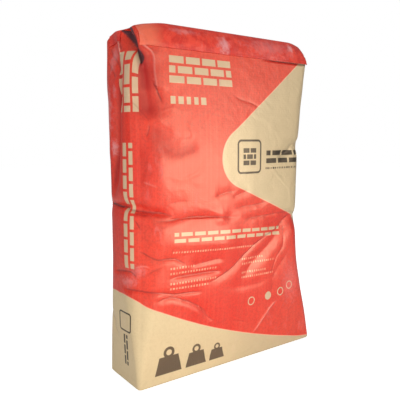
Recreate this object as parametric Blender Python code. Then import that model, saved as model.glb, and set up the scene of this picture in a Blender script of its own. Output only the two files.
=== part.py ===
"""A full 25 kg cement bag that stands on its bottom: a woven sack with folded block ends, a cover
patch over each end, and the lip of the sleeve that it was filled through. Metres, +Z up, the printed
front facing -Y, the origin on the floor under the middle of the bag."""

import math
from dataclasses import dataclass

import bmesh
import bpy
from mathutils import Vector

# The sack's cloth folded up as a plain box, before it is filled
PANEL_WIDTH = 0.3245
PANEL_DEPTH = 0.092
PANEL_HEIGHT = 0.478

# The filled bag's walls: half its width and depth, and more, at heights up the cloth
HALF_WIDTH_LEFT = ((0.0, 0.170), (0.0565, 0.1695), (0.1315, 0.169), (0.235, 0.168),
                   (0.3385, 0.167), (0.4135, 0.1665), (0.478, 0.159))
HALF_WIDTH_RIGHT = ((0.0, 0.175), (0.047, 0.169), (0.1035, 0.1595), (0.160, 0.151),
                    (0.235, 0.148), (0.329, 0.1495), (0.4135, 0.1565), (0.478, 0.159))
HALF_DEPTH = ((0.0, 0.045), (0.047, 0.0465), (0.113, 0.050), (0.207, 0.053), (0.329, 0.0545),
              (0.4135, 0.0535), (0.478, 0.048))
EDGE_RADIUS = ((0.0, 0.0065), (0.047, 0.014), (0.113, 0.028), (0.188, 0.0365), (0.282, 0.0385),
               (0.395, 0.034), (0.442, 0.0225), (0.478, 0.0085))
FACE_BULGE = ((0.0, 0.0), (0.047, 0.0025), (0.141, 0.0075), (0.235, 0.0085), (0.3385, 0.0105),
              (0.423, 0.0055), (0.478, 0.001))
SIDE_BULGE = ((0.0, 0.0), (0.094, 0.003), (0.282, 0.004), (0.478, 0.0))
SIDE_BLEND = 0.075
FACE_CROWN = 0.8
WALL_FADE = 12
TOP_SHIFT = -0.0075
FLOOR_EDGE_RADIUS = 0.004

# The roof of the top end: its rise over the folded edge, as shares across and along the bag
ROOF_RISE = 0.028
ROOF_ACROSS = ((-0.046, 0.0), (-0.043, 0.36), (-0.0385, 0.70), (-0.031, 1.0), (0.010, 1.0),
               (0.031, 0.80), (0.0425, 0.45), (0.046, 0.0))
ROOF_ALONG = ((-0.162, 0.68), (-0.141, 0.86), (-0.108, 1.0), (0.127, 1.0), (0.1505, 0.84), (0.162, 0.40))
SHOULDER_HEIGHT = 0.0565

# Cover patches and the valve's sleeve
SHEET_GAP = 0.0004
SHEET_THICKNESS = 0.0008
TOP_PATCH_LAP = 0.006
TOP_PATCH_MARGIN = 0.004
BOTTOM_PATCH_MARGIN = 0.015
SLEEVE_DROP = 0.012
SLEEVE_END_GAP = 0.0008
SLEEVE_FRONT = 0.0
SLEEVE_BACK = 0.031

# How finely the cloth is divided, how near two dividing lines may lie as a share of that, and the
# creased corner that is divided twice as finely: left of its side and over its foot
SPACING = 0.012
FINE_SIDE = -0.115
FINE_FOOT = 0.400
NEAREST_LINE = 0.3
TOLERANCE = 1e-6

# The shape of a fold: the share of its length that it fades over, the depth left at its ends, how
# far its sides reach in widths, and how sharp it is
FOLD_FADE = 0.22
FOLD_END = 0.15
FOLD_REACH = 2.5
FOLD_SHARPNESS = 1.5
FOLD_FALL = 1.2

SMOOTH_ANGLE = math.radians(50)
RED = (0.78, 0.08, 0.06)
KRAFT = (0.75, 0.60, 0.38)
FILM_ROUGHNESS = 0.45
CLOTH_ROUGHNESS = 0.55


@dataclass(frozen=True)
class Fold:
    """A crease, along points (round the bag from the front's middle, up the cloth)."""

    points: tuple
    depth: float
    width: float


FOLDS = (
    # The gusset's centre line, sucked in on the left side
    Fold(((-0.200, 0.430), (-0.205, 0.405), (-0.211, 0.385), (-0.2115, 0.350), (-0.214, 0.310),
          (-0.221, 0.262)), 0.0085, 0.0105),
    # The pleat behind the top left corner, where the valve's mouth gapes
    Fold(((-0.204, 0.488), (-0.196, 0.473), (-0.185, 0.462), (-0.170, 0.455), (-0.153, 0.447)), 0.0135, 0.0075),
    # The tucked triangle behind the pleat
    Fold(((-0.240, 0.478), (-0.219, 0.457), (-0.202, 0.433)), 0.0045, 0.0080),
    # The crushed edge under the top left corner
    Fold(((-0.153, 0.462), (-0.148, 0.435), (-0.144, 0.398), (-0.142, 0.375)), 0.0095, 0.0170),
    # The crease round the waist
    Fold(((-0.240, 0.258), (-0.203, 0.260), (-0.183, 0.259), (-0.1645, 0.2565), (-0.137, 0.251), (-0.106, 0.242),
          (-0.069, 0.239), (-0.018, 0.238)), 0.0060, 0.0100),
    # The folds that run down from the right edge
    Fold(((0.185, 0.224), (0.142, 0.222), (0.1135, 0.2215), (0.087, 0.2175), (0.050, 0.220)), 0.0050, 0.0105),
    Fold(((0.165, 0.218), (0.105, 0.206), (0.077, 0.189), (0.048, 0.170), (0.025, 0.154), (0.004, 0.126)),
         0.0045, 0.0125),
    Fold(((0.175, 0.341), (0.130, 0.338), (0.104, 0.329), (0.079, 0.325)), 0.0045, 0.0105),
)


def clamp(value, low, high):
    return max(low, min(high, value))


def smooth(value):
    """0 below 0, 1 above 1, and an S curve between."""
    value = clamp(value, 0.0, 1.0)
    return value * value * (3.0 - 2.0 * value)


def along(profile, place):
    """The profile's value at that place, on a smooth curve that never swings past its stations."""
    places = [p for p, _ in profile]
    values = [v for _, v in profile]
    rates = [(values[i + 1] - values[i]) / (places[i + 1] - places[i]) for i in range(len(profile) - 1)]
    slopes = [rates[0]]
    for before, after in zip(rates, rates[1:]):
        slopes.append(2 * before * after / (before + after) if before * after > 0 else 0.0)
    slopes.append(rates[-1])
    place = clamp(place, places[0], places[-1])
    i = max(j for j in range(len(rates)) if places[j] <= place)
    span = places[i + 1] - places[i]
    f = (place - places[i]) / span
    return ((2 * f**3 - 3 * f**2 + 1) * values[i] + (f**3 - 2 * f**2 + f) * span * slopes[i]
            + (3 * f**2 - 2 * f**3) * values[i + 1] + (f**3 - f**2) * span * slopes[i + 1])


def reach_of(x, y):
    """How near a place in the plan is to the wall: 0 in the middle of the bag, 1 on the wall."""
    return max(abs(x) / (PANEL_WIDTH / 2), abs(y) / (PANEL_DEPTH / 2), TOLERANCE)


def round_the_bag(x, y):
    """How far round the cloth a place in the plan lies from the front's middle: left is negative."""
    half_width, half_depth = PANEL_WIDTH / 2, PANEL_DEPTH / 2
    reach = reach_of(x, y)
    x, y = x / reach, y / reach
    hand = -1.0 if x < 0 else 1.0
    if y <= TOLERANCE - half_depth:
        return x
    if abs(x) >= half_width - TOLERANCE:
        return hand * (half_width + half_depth + y)
    return hand * (half_width + PANEL_DEPTH + half_width - abs(x))


def fold_depth(fold, u, height):
    """How far the fold pulls the cloth in at that place."""
    place = Vector((u, height))
    runs = list(zip(fold.points, fold.points[1:]))
    nearest, share = FOLD_REACH * fold.width, 0.0
    for i, (start, end) in enumerate(runs):
        start, run = Vector(start), Vector(end) - Vector(start)
        f = clamp((place - start).dot(run) / run.length_squared, 0.0, 1.0)
        distance = (place - start - run * f).length
        if distance < nearest:
            nearest, share = distance, (i + f) / len(runs)
    if nearest >= FOLD_REACH * fold.width:
        return 0.0
    fade = smooth(share / FOLD_FADE) * smooth((1 - share) / FOLD_FADE)
    profile = math.exp(-FOLD_FALL * (nearest / fold.width) ** FOLD_SHARPNESS)
    return fold.depth * (FOLD_END + (1 - FOLD_END) * fade) * profile


def wall_place(x, y, height):
    """Where a place in the plan of the plain box lies at that height of the filled bag."""
    half_width, half_depth = PANEL_WIDTH / 2, PANEL_DEPTH / 2
    radius = along(EDGE_RADIUS, height)
    core = Vector((clamp(x, radius - half_width, half_width - radius),
                   clamp(y, radius - half_depth, half_depth - radius)))
    off = Vector((x, y)) - core
    out = off.normalized() if off.length > TOLERANCE else Vector((0.0, 0.0))
    plan = core + out * max(abs(off.x), abs(off.y))

    on_right = smooth(0.5 + x / SIDE_BLEND)
    width = along(HALF_WIDTH_LEFT, height) * (1 - on_right) + along(HALF_WIDTH_RIGHT, height) * on_right
    plan.x *= width / half_width
    plan.y *= along(HALF_DEPTH, height) / half_depth
    plan.y += along(FACE_BULGE, height) * (1 - (x / half_width) ** 2) ** FACE_CROWN * y / half_depth
    plan.x += along(SIDE_BULGE, height) * (1 - (y / half_depth) ** 2) * x / half_width

    u = round_the_bag(x, y)
    from_floor = clamp(1 - height / FLOOR_EDGE_RADIUS, 0, 1)
    pull = sum(fold_depth(fold, u, height) for fold in FOLDS)
    pull += FLOOR_EDGE_RADIUS * (1 - math.sqrt(1 - from_floor**2))
    plan -= out * pull * reach_of(x, y) ** WALL_FADE
    plan.x += TOP_SHIFT * height / PANEL_HEIGHT
    return plan


def roof_lift(x, y, height):
    """How far the roof, or the wall that runs up to it, is lifted over the plain box."""
    if height < PANEL_HEIGHT - TOLERANCE:
        reach = reach_of(x, y)
        x, y = x / reach, y / reach
    rise = smooth(1 - (PANEL_HEIGHT - height) / SHOULDER_HEIGHT)
    return ROOF_RISE * along(ROOF_ACROSS, y) * along(ROOF_ALONG, x) * rise


def bag_point(place):
    """Where a point of the plain box of cloth lies on the filled bag."""
    plan = wall_place(*place)
    return Vector((plan.x, plan.y, place.z + roof_lift(*place) + SHEET_GAP + SHEET_THICKNESS))


def lines(start, end, extra, fine_start=0.0, fine_end=0.0):
    """Places for lines that divide a length evenly, twice as close in the fine stretch, and extra ones."""
    count = round((end - start) / SPACING)
    step = (end - start) / count
    places = [start + step * i for i in range(1, count)]
    halves = [start + step * (i + 0.5) for i in range(count)]
    places += [half for half in halves if fine_start < half < fine_end]
    places = [p for p in places if all(abs(p - e) > SPACING * NEAREST_LINE for e in extra)]
    return sorted(places + list(extra))


def divided_box():
    """The plain box of cloth, divided into rows and columns, with lines where the sheets end."""
    mesh = bmesh.new()
    bmesh.ops.create_cube(mesh, size=1.0)
    bmesh.ops.scale(mesh, vec=(PANEL_WIDTH, PANEL_DEPTH, PANEL_HEIGHT), verts=mesh.verts)
    bmesh.ops.translate(mesh, vec=(0, 0, PANEL_HEIGHT / 2), verts=mesh.verts)
    half_width, half_depth = PANEL_WIDTH / 2, PANEL_DEPTH / 2
    patch_end = half_width - TOP_PATCH_MARGIN
    floor_end = half_width - BOTTOM_PATCH_MARGIN
    floor_side = half_depth - BOTTOM_PATCH_MARGIN
    roof_stations = [y for y, _ in ROOF_ACROSS[1:-1]]
    cuts = (
        ((1, 0, 0), lines(-half_width, half_width,
                          (-patch_end - SLEEVE_END_GAP, -patch_end, -floor_end, floor_end, patch_end),
                          -half_width, FINE_SIDE)),
        ((0, 1, 0), lines(-half_depth, half_depth,
                          (-floor_side, SLEEVE_FRONT, SLEEVE_BACK, floor_side, *roof_stations),
                          -half_depth, half_depth)),
        ((0, 0, 1), lines(0.0, PANEL_HEIGHT,
                          (FLOOR_EDGE_RADIUS / 2, FLOOR_EDGE_RADIUS,
                           PANEL_HEIGHT - SLEEVE_DROP, PANEL_HEIGHT - TOP_PATCH_LAP),
                          FINE_FOOT, PANEL_HEIGHT)),
    )
    for normal, places in cuts:
        for place in places:
            geometry = mesh.verts[:] + mesh.edges[:] + mesh.faces[:]
            bmesh.ops.bisect_plane(mesh, geom=geometry, dist=TOLERANCE,
                                   plane_co=Vector(normal) * place, plane_no=normal)
    return mesh


def filled_sack():
    """The sack's mesh, and the place on the plain box that each of its points came from."""
    mesh = divided_box()
    flat = [vert.co.copy() for vert in mesh.verts]
    for vert, place in zip(mesh.verts, flat):
        vert.co = bag_point(place)
    bmesh.ops.triangulate(mesh, faces=mesh.faces, quad_method="FIXED")
    middle = [(min(v.co[i] for v in mesh.verts) + max(v.co[i] for v in mesh.verts)) / 2 for i in (0, 1)]
    bmesh.ops.translate(mesh, vec=(-middle[0], -middle[1], 0), verts=mesh.verts)
    mesh.normal_update()
    return mesh, flat


def sheet_on_sack(covers):
    """A closed thin sheet that lies on the part of the sack whose flat places all pass the test."""
    mesh, flat = filled_sack()
    mesh.verts.index_update()
    outward = mesh.verts.layers.float_vector.new("outward")
    for vert in mesh.verts:
        vert[outward] = vert.normal * vert.calc_shell_factor()
    spare = [face for face in mesh.faces if not all(covers(flat[vert.index]) for vert in face.verts)]
    bmesh.ops.delete(mesh, geom=spare, context="FACES")
    for vert in mesh.verts:
        vert.co += vert[outward] * SHEET_GAP
    raised = bmesh.ops.extrude_face_region(mesh, geom=mesh.faces[:])
    for vert in [v for v in raised["geom"] if isinstance(v, bmesh.types.BMVert)]:
        vert.co += vert[outward] * SHEET_THICKNESS
    bmesh.ops.recalc_face_normals(mesh, faces=mesh.faces)
    return mesh


def under_top_patch(place):
    """True where a place on the plain box is under the top cover patch."""
    return (place.z >= PANEL_HEIGHT - TOP_PATCH_LAP - TOLERANCE
            and abs(place.x) <= PANEL_WIDTH / 2 - TOP_PATCH_MARGIN + TOLERANCE)


def over_bottom_patch(place):
    """True where a place on the plain box is over the bottom cover patch."""
    return (place.z <= TOLERANCE and abs(place.x) <= PANEL_WIDTH / 2 - BOTTOM_PATCH_MARGIN + TOLERANCE
            and abs(place.y) <= PANEL_DEPTH / 2 - BOTTOM_PATCH_MARGIN + TOLERANCE)


def under_sleeve(place):
    """True where a place on the plain box is under the valve sleeve's lip, on the left end."""
    end = TOP_PATCH_MARGIN - SLEEVE_END_GAP - PANEL_WIDTH / 2
    return (place.z >= PANEL_HEIGHT - SLEEVE_DROP - TOLERANCE and place.x <= end + TOLERANCE
            and SLEEVE_FRONT - TOLERANCE <= place.y <= SLEEVE_BACK + TOLERANCE)


def finish(mesh, name, colour, roughness):
    """Makes the mesh a named object with its own material."""
    data = bpy.data.meshes.new(name)
    mesh.to_mesh(data)
    mesh.free()
    data.shade_smooth()
    data.set_sharp_from_angle(angle=SMOOTH_ANGLE)
    material = bpy.data.materials.new(name)
    material.use_nodes = True
    shader = material.node_tree.nodes["Principled BSDF"]
    shader.inputs["Base Color"].default_value = (*colour, 1.0)
    shader.inputs["Roughness"].default_value = roughness
    data.materials.append(material)
    bpy.context.scene.collection.objects.link(bpy.data.objects.new(name, data))


def main():
    for thing in list(bpy.data.objects):
        bpy.data.objects.remove(thing)
    sack, _ = filled_sack()
    finish(sack, "sack", RED, FILM_ROUGHNESS)
    finish(sheet_on_sack(under_top_patch), "top_patch", RED, FILM_ROUGHNESS)
    finish(sheet_on_sack(over_bottom_patch), "bottom_patch", KRAFT, CLOTH_ROUGHNESS)
    finish(sheet_on_sack(under_sleeve), "valve_sleeve", RED, CLOTH_ROUGHNESS)


main()
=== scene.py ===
"""The looks of a full 25 kg cement bag: the creased woven sack with its printed film, the cover patch
over each block end, and the lip of the filling sleeve, in a pale studio."""

import logging
import math
from dataclasses import dataclass, field
from enum import Enum

import bmesh
import bpy
import numpy as np
from mathutils import Matrix, Vector


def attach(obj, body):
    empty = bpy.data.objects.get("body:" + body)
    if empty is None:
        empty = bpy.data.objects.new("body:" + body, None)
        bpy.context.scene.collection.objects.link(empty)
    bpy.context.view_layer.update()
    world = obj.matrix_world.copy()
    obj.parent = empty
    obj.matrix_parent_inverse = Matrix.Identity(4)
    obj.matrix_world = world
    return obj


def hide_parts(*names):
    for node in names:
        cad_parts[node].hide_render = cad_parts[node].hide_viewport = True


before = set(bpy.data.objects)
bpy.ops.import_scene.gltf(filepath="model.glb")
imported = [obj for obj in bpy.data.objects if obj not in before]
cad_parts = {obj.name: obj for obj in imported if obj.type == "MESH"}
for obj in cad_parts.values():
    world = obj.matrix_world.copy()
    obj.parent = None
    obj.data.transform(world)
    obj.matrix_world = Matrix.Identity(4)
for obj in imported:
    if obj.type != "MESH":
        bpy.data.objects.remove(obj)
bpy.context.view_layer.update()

log = logging.getLogger("cement_bag")

Station = tuple[float, float]
Stations = tuple[Station, ...]
Point = tuple[float, float, float]
Socket = bpy.types.NodeSocket
TOLERANCE = 1e-6


# Curves and steps


def smooth(value: np.ndarray) -> np.ndarray:
    """An S curve from 0 at 0 and below to 1 at 1 and above."""
    value = np.clip(value, 0.0, 1.0)
    return value * value * (3.0 - 2.0 * value)


def along(stations: Stations, place: np.ndarray) -> np.ndarray:
    """Reads a profile on a smooth curve that never swings past its stations.

    Args:
        stations: Pairs of a place and the value there, in order.
        place: The places to read.

    Returns:
        The value at each place.
    """
    places, values = np.array(stations).T
    rates = np.diff(values) / np.diff(places)
    product = rates[:-1] * rates[1:]
    total = np.where(product > 0, rates[:-1] + rates[1:], 1.0)
    slopes = np.concatenate(([rates[0]], np.where(product > 0, 2 * product / total, 0.0), [rates[-1]]))
    place = np.clip(place, places[0], places[-1])
    i = np.clip(np.searchsorted(places, place, side="right") - 1, 0, len(rates) - 1)
    span = places[i + 1] - places[i]
    f = (place - places[i]) / span
    return ((2 * f**3 - 3 * f**2 + 1) * values[i] + (f**3 - 2 * f**2 + f) * span * slopes[i]
            + (3 * f**2 - 2 * f**3) * values[i + 1] + (f**3 - f**2) * span * slopes[i + 1])


# The form of the bag


@dataclass(frozen=True)
class Crease:
    """A line that the cloth is bent along. Its points lie on the flat cloth, in metres round the bag
    from the front's middle and up the cloth. A negative depth makes a ridge.

    Attributes:
        points: The line.
        depth: How far the cloth is drawn in along it.
        width: How far the bend reaches on the line's left, as seen along it.
        right: How far it reaches on the right, or 0 for as far as on the left.
        lip: The share of the depth that the cloth stands out beside the bend: on the left where it is
            positive, on the right where it is negative.
        fade: The share of the line over which each of its ends fades.
        end: The share of the depth that is left at the ends.
        worn_lit: The wear along the line, with a painted highlight on it.
        shade: How dark the painted shade along the line is.
        spread: How far the shade reaches on each side, or 0 for a thin line.
    """

    points: Stations
    depth: float
    width: float
    right: float = 0.0
    lip: float = 0.0
    fade: float = 0.22
    end: float = 0.0
    worn_lit: float = 0.0
    shade: float = 0.0
    spread: float = 0.0

    REACH = 3.2
    LINE_REACH = 0.0042
    STEPS = 6
    VALLEY_SHARPNESS = 1.2
    VALLEY_POWER = 1.5
    LIP_PLACE = 1.9

    def line(self) -> np.ndarray:
        """The crease's points again on a smooth curve through them."""
        points = np.array(self.points)
        before = np.vstack((2 * points[0] - points[1], points[:-2]))
        after = np.vstack((points[2:], 2 * points[-1] - points[-2]))
        runs = []
        for p0, p1, p2, p3 in zip(before, points[:-1], points[1:], after):
            f = np.linspace(0.0, 1.0, self.STEPS, endpoint=False)[:, None]
            runs.append(0.5 * (2 * p1 + (p2 - p0) * f + (2 * p0 - 5 * p1 + 4 * p2 - p3) * f**2
                               + (3 * p1 - p0 - 3 * p2 + p3) * f**3))
        return np.vstack((*runs, points[-1:]))

    def measure(self, cloth: np.ndarray) -> tuple[np.ndarray, np.ndarray, np.ndarray]:
        """Finds which points of the cloth the crease reaches, and how far they lie from it.

        Args:
            cloth: Places on the flat cloth, one row each.

        Returns:
            The indices of the points in reach, their distance from the line, positive on its left,
            and the share of the crease's depth that it has beside them.
        """
        line = self.line()
        reach = self.REACH * max(self.width, self.right)
        low, high = line.min(axis=0) - reach, line.max(axis=0) + reach
        near = np.flatnonzero(((cloth > low) & (cloth < high)).all(axis=1))
        place = cloth[near][:, None, :]
        start, run = line[:-1], np.diff(line, axis=0)
        length = np.linalg.norm(run, axis=1)
        gone = np.concatenate(([0.0], np.cumsum(length)))
        f = np.clip(((place - start) * run).sum(axis=2) / length**2, 0.0, 1.0)
        off = place - start - run * f[:, :, None]
        distance = np.linalg.norm(off, axis=2)
        best = distance.argmin(axis=1)
        rows = np.arange(len(near))
        side = run[best, 0] * off[rows, best, 1] - run[best, 1] * off[rows, best, 0]
        signed = np.where(side < 0, -1.0, 1.0) * distance[rows, best]
        share = (gone[best] + f[rows, best] * length[best]) / gone[-1]
        ends = smooth(share / self.fade) * smooth((1 - share) / self.fade)
        return near, signed, self.end + (1 - self.end) * ends

    def bend(self, signed: np.ndarray) -> np.ndarray:
        """The crease's own section: a valley, and a lip beside it.

        Args:
            signed: Distances from the line, positive on its left.

        Returns:
            How far the cloth is drawn in at each distance, in metres.
        """
        share = signed / np.where(signed > 0, self.width, self.right or self.width)
        valley = np.exp(-self.VALLEY_SHARPNESS * np.abs(share) ** self.VALLEY_POWER)
        lip = np.exp(-(np.copysign(1.0, self.lip) * share - self.LIP_PLACE) ** 2)
        return self.depth * (valley - abs(self.lip) * lip)

    def pull(self, cloth: np.ndarray) -> np.ndarray:
        """How far the crease draws the cloth in at each place of it, in metres.

        Args:
            cloth: Places on the flat cloth, one row each.

        Returns:
            The inward pull at each place.
        """
        pull = np.zeros(len(cloth))
        near, signed, strength = self.measure(cloth)
        pull[near] = self.bend(signed) * strength
        return pull


@dataclass
class CreaseMap:
    """What all the creases together do to the cloth, at each place of it.

    Attributes:
        cloth: The places on the flat cloth, one row each.
        pull: How far the cloth is drawn in.
        line: How far the nearest crease's line is, positive on its left.
        worn_lit: The wear along the nearest line, with its painted highlight.
        shade: How dark the painted shade of the nearest line is.
        dark: How dark the painted shade of the crushed and shaded zones is.
    """

    cloth: np.ndarray
    pull: np.ndarray = field(init=False)
    line: np.ndarray = field(init=False)
    worn_lit: np.ndarray = field(init=False)
    shade: np.ndarray = field(init=False)
    dark: np.ndarray = field(init=False)

    FAR = 0.02

    def __post_init__(self) -> None:
        """Starts with cloth that no crease touches."""
        self.pull, self.worn_lit, self.shade, self.dark = (np.zeros(len(self.cloth)) for _ in range(4))
        self.line = np.full(len(self.cloth), self.FAR)

    def add(self, crease: Crease) -> None:
        """Adds a crease.

        Args:
            crease: The crease.
        """
        near, signed, strength = crease.measure(self.cloth)
        self.pull[near] += crease.bend(signed) * strength
        if crease.spread:
            # A zone of painted shade
            zone = crease.shade * strength * np.exp(-((signed / crease.spread) ** 2))
            self.dark[near] = np.maximum(self.dark[near], zone)
        elif crease.worn_lit or crease.shade:
            # A thin line of painted shade, or of wear with a painted highlight
            nearest = np.abs(signed) < np.abs(self.line[near])
            place = near[nearest]
            fade = strength[nearest] * np.exp(-((signed[nearest] / crease.LINE_REACH) ** 2))
            self.line[place] = signed[nearest]
            self.worn_lit[place] = crease.worn_lit * fade
            self.shade[place] = crease.shade * fade


@dataclass(frozen=True)
class BagForm:
    """The filled bag's shape: the cloth folded up as a plain box, and where each place of it lies
    once powder fills it. The front faces -Y."""

    width: float = 0.3245
    depth: float = 0.092
    height: float = 0.478
    # A scratch script scaled the stations and the lengths from a first size to the bag's own
    half_width_left: Stations = ((0.0, 0.170), (0.0565, 0.1695), (0.1315, 0.169), (0.235, 0.168),
                                 (0.3385, 0.167), (0.4135, 0.1665), (0.478, 0.159))
    half_width_right: Stations = ((0.0, 0.175), (0.047, 0.169), (0.1035, 0.1595), (0.160, 0.151),
                                  (0.235, 0.148), (0.329, 0.1495), (0.4135, 0.1565), (0.478, 0.159))
    half_depth: Stations = ((0.0, 0.045), (0.047, 0.0465), (0.113, 0.050), (0.207, 0.053),
                            (0.329, 0.0545), (0.4135, 0.0535), (0.478, 0.048))
    edge_radius: Stations = ((0.0, 0.0065), (0.047, 0.014), (0.113, 0.028), (0.188, 0.0365),
                             (0.282, 0.0385), (0.395, 0.034), (0.442, 0.0225), (0.478, 0.0085))
    face_bulge: Stations = ((0.0, 0.0), (0.047, 0.0025), (0.141, 0.0075), (0.235, 0.0085),
                            (0.3385, 0.0105), (0.423, 0.0055), (0.478, 0.001))
    side_bulge: Stations = ((0.0, 0.0), (0.094, 0.003), (0.282, 0.004), (0.478, 0.0))
    roof_across: Stations = ((-0.046, 0.0), (-0.043, 0.36), (-0.0385, 0.70), (-0.031, 1.0),
                             (0.010, 1.0), (0.031, 0.80), (0.0425, 0.45), (0.046, 0.0))
    roof_along: Stations = ((-0.162, 0.68), (-0.141, 0.86), (-0.108, 1.0), (0.127, 1.0),
                            (0.1505, 0.84), (0.162, 0.40))
    roof_rise: float = 0.028
    shoulder_height: float = 0.0565
    side_blend: float = 0.075
    face_crown: float = 0.8
    wall_fade: float = 12.0
    top_shift: float = -0.0075
    floor_edge_radius: float = 0.004
    floor_gap: float = 0.0012

    def reach(self, flat: np.ndarray) -> np.ndarray:
        """How near each place of the box is to the wall: 0 in the middle of the bag, 1 on the wall."""
        return np.maximum(np.maximum(np.abs(flat[:, 0]) / (self.width / 2),
                                     np.abs(flat[:, 1]) / (self.depth / 2)), TOLERANCE)

    def cloth(self, flat: np.ndarray) -> np.ndarray:
        """Where each place of the plain box lies on the flat cloth.

        Args:
            flat: Places on the plain box, one row each.

        Returns:
            Metres round the bag from the front's middle, left negative, and metres up the cloth.
            On the block ends the second goes on inwards from the edge.
        """
        half_width, half_depth = self.width / 2, self.depth / 2
        reach = self.reach(flat)
        x, y = flat[:, 0] / reach, flat[:, 1] / reach
        hand = np.where(flat[:, 0] < 0, -1.0, 1.0)
        back = hand * (2 * half_width + self.depth - np.abs(x))
        side = hand * (half_width + half_depth + y)
        on_side = np.abs(x) >= half_width - TOLERANCE
        u = np.where(y <= TOLERANCE - half_depth, x, np.where(on_side, side, back))
        inward = (1 - reach) * half_depth
        up = np.where(flat[:, 2] >= self.height - TOLERANCE, self.height + inward,
                      np.where(flat[:, 2] <= TOLERANCE, -inward, flat[:, 2]))
        return np.column_stack((u, up))

    def fill(self, flat: np.ndarray, folds: tuple[Crease, ...]) -> np.ndarray:
        """Where each place of the plain box lies on the filled bag.

        Args:
            flat: Places on the plain box, one row each.
            folds: The broad folds of the walls.

        Returns:
            The places on the bag, one row each.
        """
        x, y, up = flat.T
        half_width, half_depth = self.width / 2, self.depth / 2
        radius = along(self.edge_radius, up)
        core = np.column_stack((np.clip(x, radius - half_width, half_width - radius),
                                np.clip(y, radius - half_depth, half_depth - radius)))
        off = flat[:, :2] - core
        length = np.linalg.norm(off, axis=1)
        out = np.where(length[:, None] > TOLERANCE, off / np.maximum(length, TOLERANCE)[:, None], 0.0)
        plan = core + out * np.abs(off).max(axis=1)[:, None]

        on_right = smooth(0.5 + x / self.side_blend)
        wide = along(self.half_width_left, up) * (1 - on_right) + along(self.half_width_right, up) * on_right
        plan[:, 0] *= wide / half_width
        plan[:, 1] *= along(self.half_depth, up) / half_depth
        crown = np.maximum(1 - (x / half_width) ** 2, 0.0) ** self.face_crown
        plan[:, 1] += along(self.face_bulge, up) * crown * y / half_depth
        plan[:, 0] += along(self.side_bulge, up) * (1 - (y / half_depth) ** 2) * x / half_width

        cloth = self.cloth(flat)
        walls = np.column_stack((cloth[:, 0], up))
        from_floor = np.clip(1 - up / self.floor_edge_radius, 0.0, 1.0)
        pull = sum(fold.pull(walls) for fold in folds)
        pull = pull + self.floor_edge_radius * (1 - np.sqrt(1 - from_floor**2))
        reach = self.reach(flat)
        plan -= out * (pull * reach**self.wall_fade)[:, None]
        plan[:, 0] += self.top_shift * up / self.height

        inside = up >= self.height - TOLERANCE
        roof_x = np.where(inside, x, x / reach)
        roof_y = np.where(inside, y, y / reach)
        rise = smooth(1 - (self.height - up) / self.shoulder_height)
        lift = self.roof_rise * along(self.roof_across, roof_y) * along(self.roof_along, roof_x) * rise
        return np.column_stack((plan, up + lift + self.floor_gap))


# The broad folds, which the solid of the sack has too. A scratch script scaled their points from a first
# size to the bag's own, and which of them came from pixels of the photo before that wasn't traced
FOLDS = (
    # The gusset's centre line, sucked in on the left side
    Crease(((-0.200, 0.430), (-0.205, 0.405), (-0.211, 0.385), (-0.2115, 0.350), (-0.214, 0.310),
            (-0.221, 0.262)), 0.0085, 0.0105, end=0.15),
    # The pleat behind the top left corner, where the valve's mouth gapes
    Crease(((-0.204, 0.488), (-0.196, 0.473), (-0.185, 0.462), (-0.170, 0.455), (-0.153, 0.447)),
           0.0135, 0.0075, end=0.15),
    # The tucked triangle behind the pleat
    Crease(((-0.240, 0.478), (-0.219, 0.457), (-0.202, 0.433)), 0.0045, 0.0080, end=0.15),
    # The crushed edge under the top left corner
    Crease(((-0.153, 0.462), (-0.148, 0.435), (-0.144, 0.398), (-0.142, 0.375)), 0.0095, 0.0170, end=0.15),
    # The crease round the waist
    Crease(((-0.240, 0.258), (-0.203, 0.260), (-0.183, 0.259), (-0.1645, 0.2565), (-0.137, 0.251),
            (-0.106, 0.242), (-0.069, 0.239), (-0.018, 0.238)), 0.0060, 0.0100, end=0.15),
    # The folds that run down from the right edge
    Crease(((0.185, 0.224), (0.142, 0.222), (0.1135, 0.2215), (0.087, 0.2175), (0.050, 0.220)),
           0.0050, 0.0105, end=0.15),
    Crease(((0.165, 0.218), (0.105, 0.206), (0.077, 0.189), (0.048, 0.170), (0.025, 0.154), (0.004, 0.126)),
           0.0045, 0.0125, end=0.15),
    Crease(((0.175, 0.341), (0.130, 0.338), (0.104, 0.329), (0.079, 0.325)), 0.0045, 0.0105, end=0.15),
)
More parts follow.
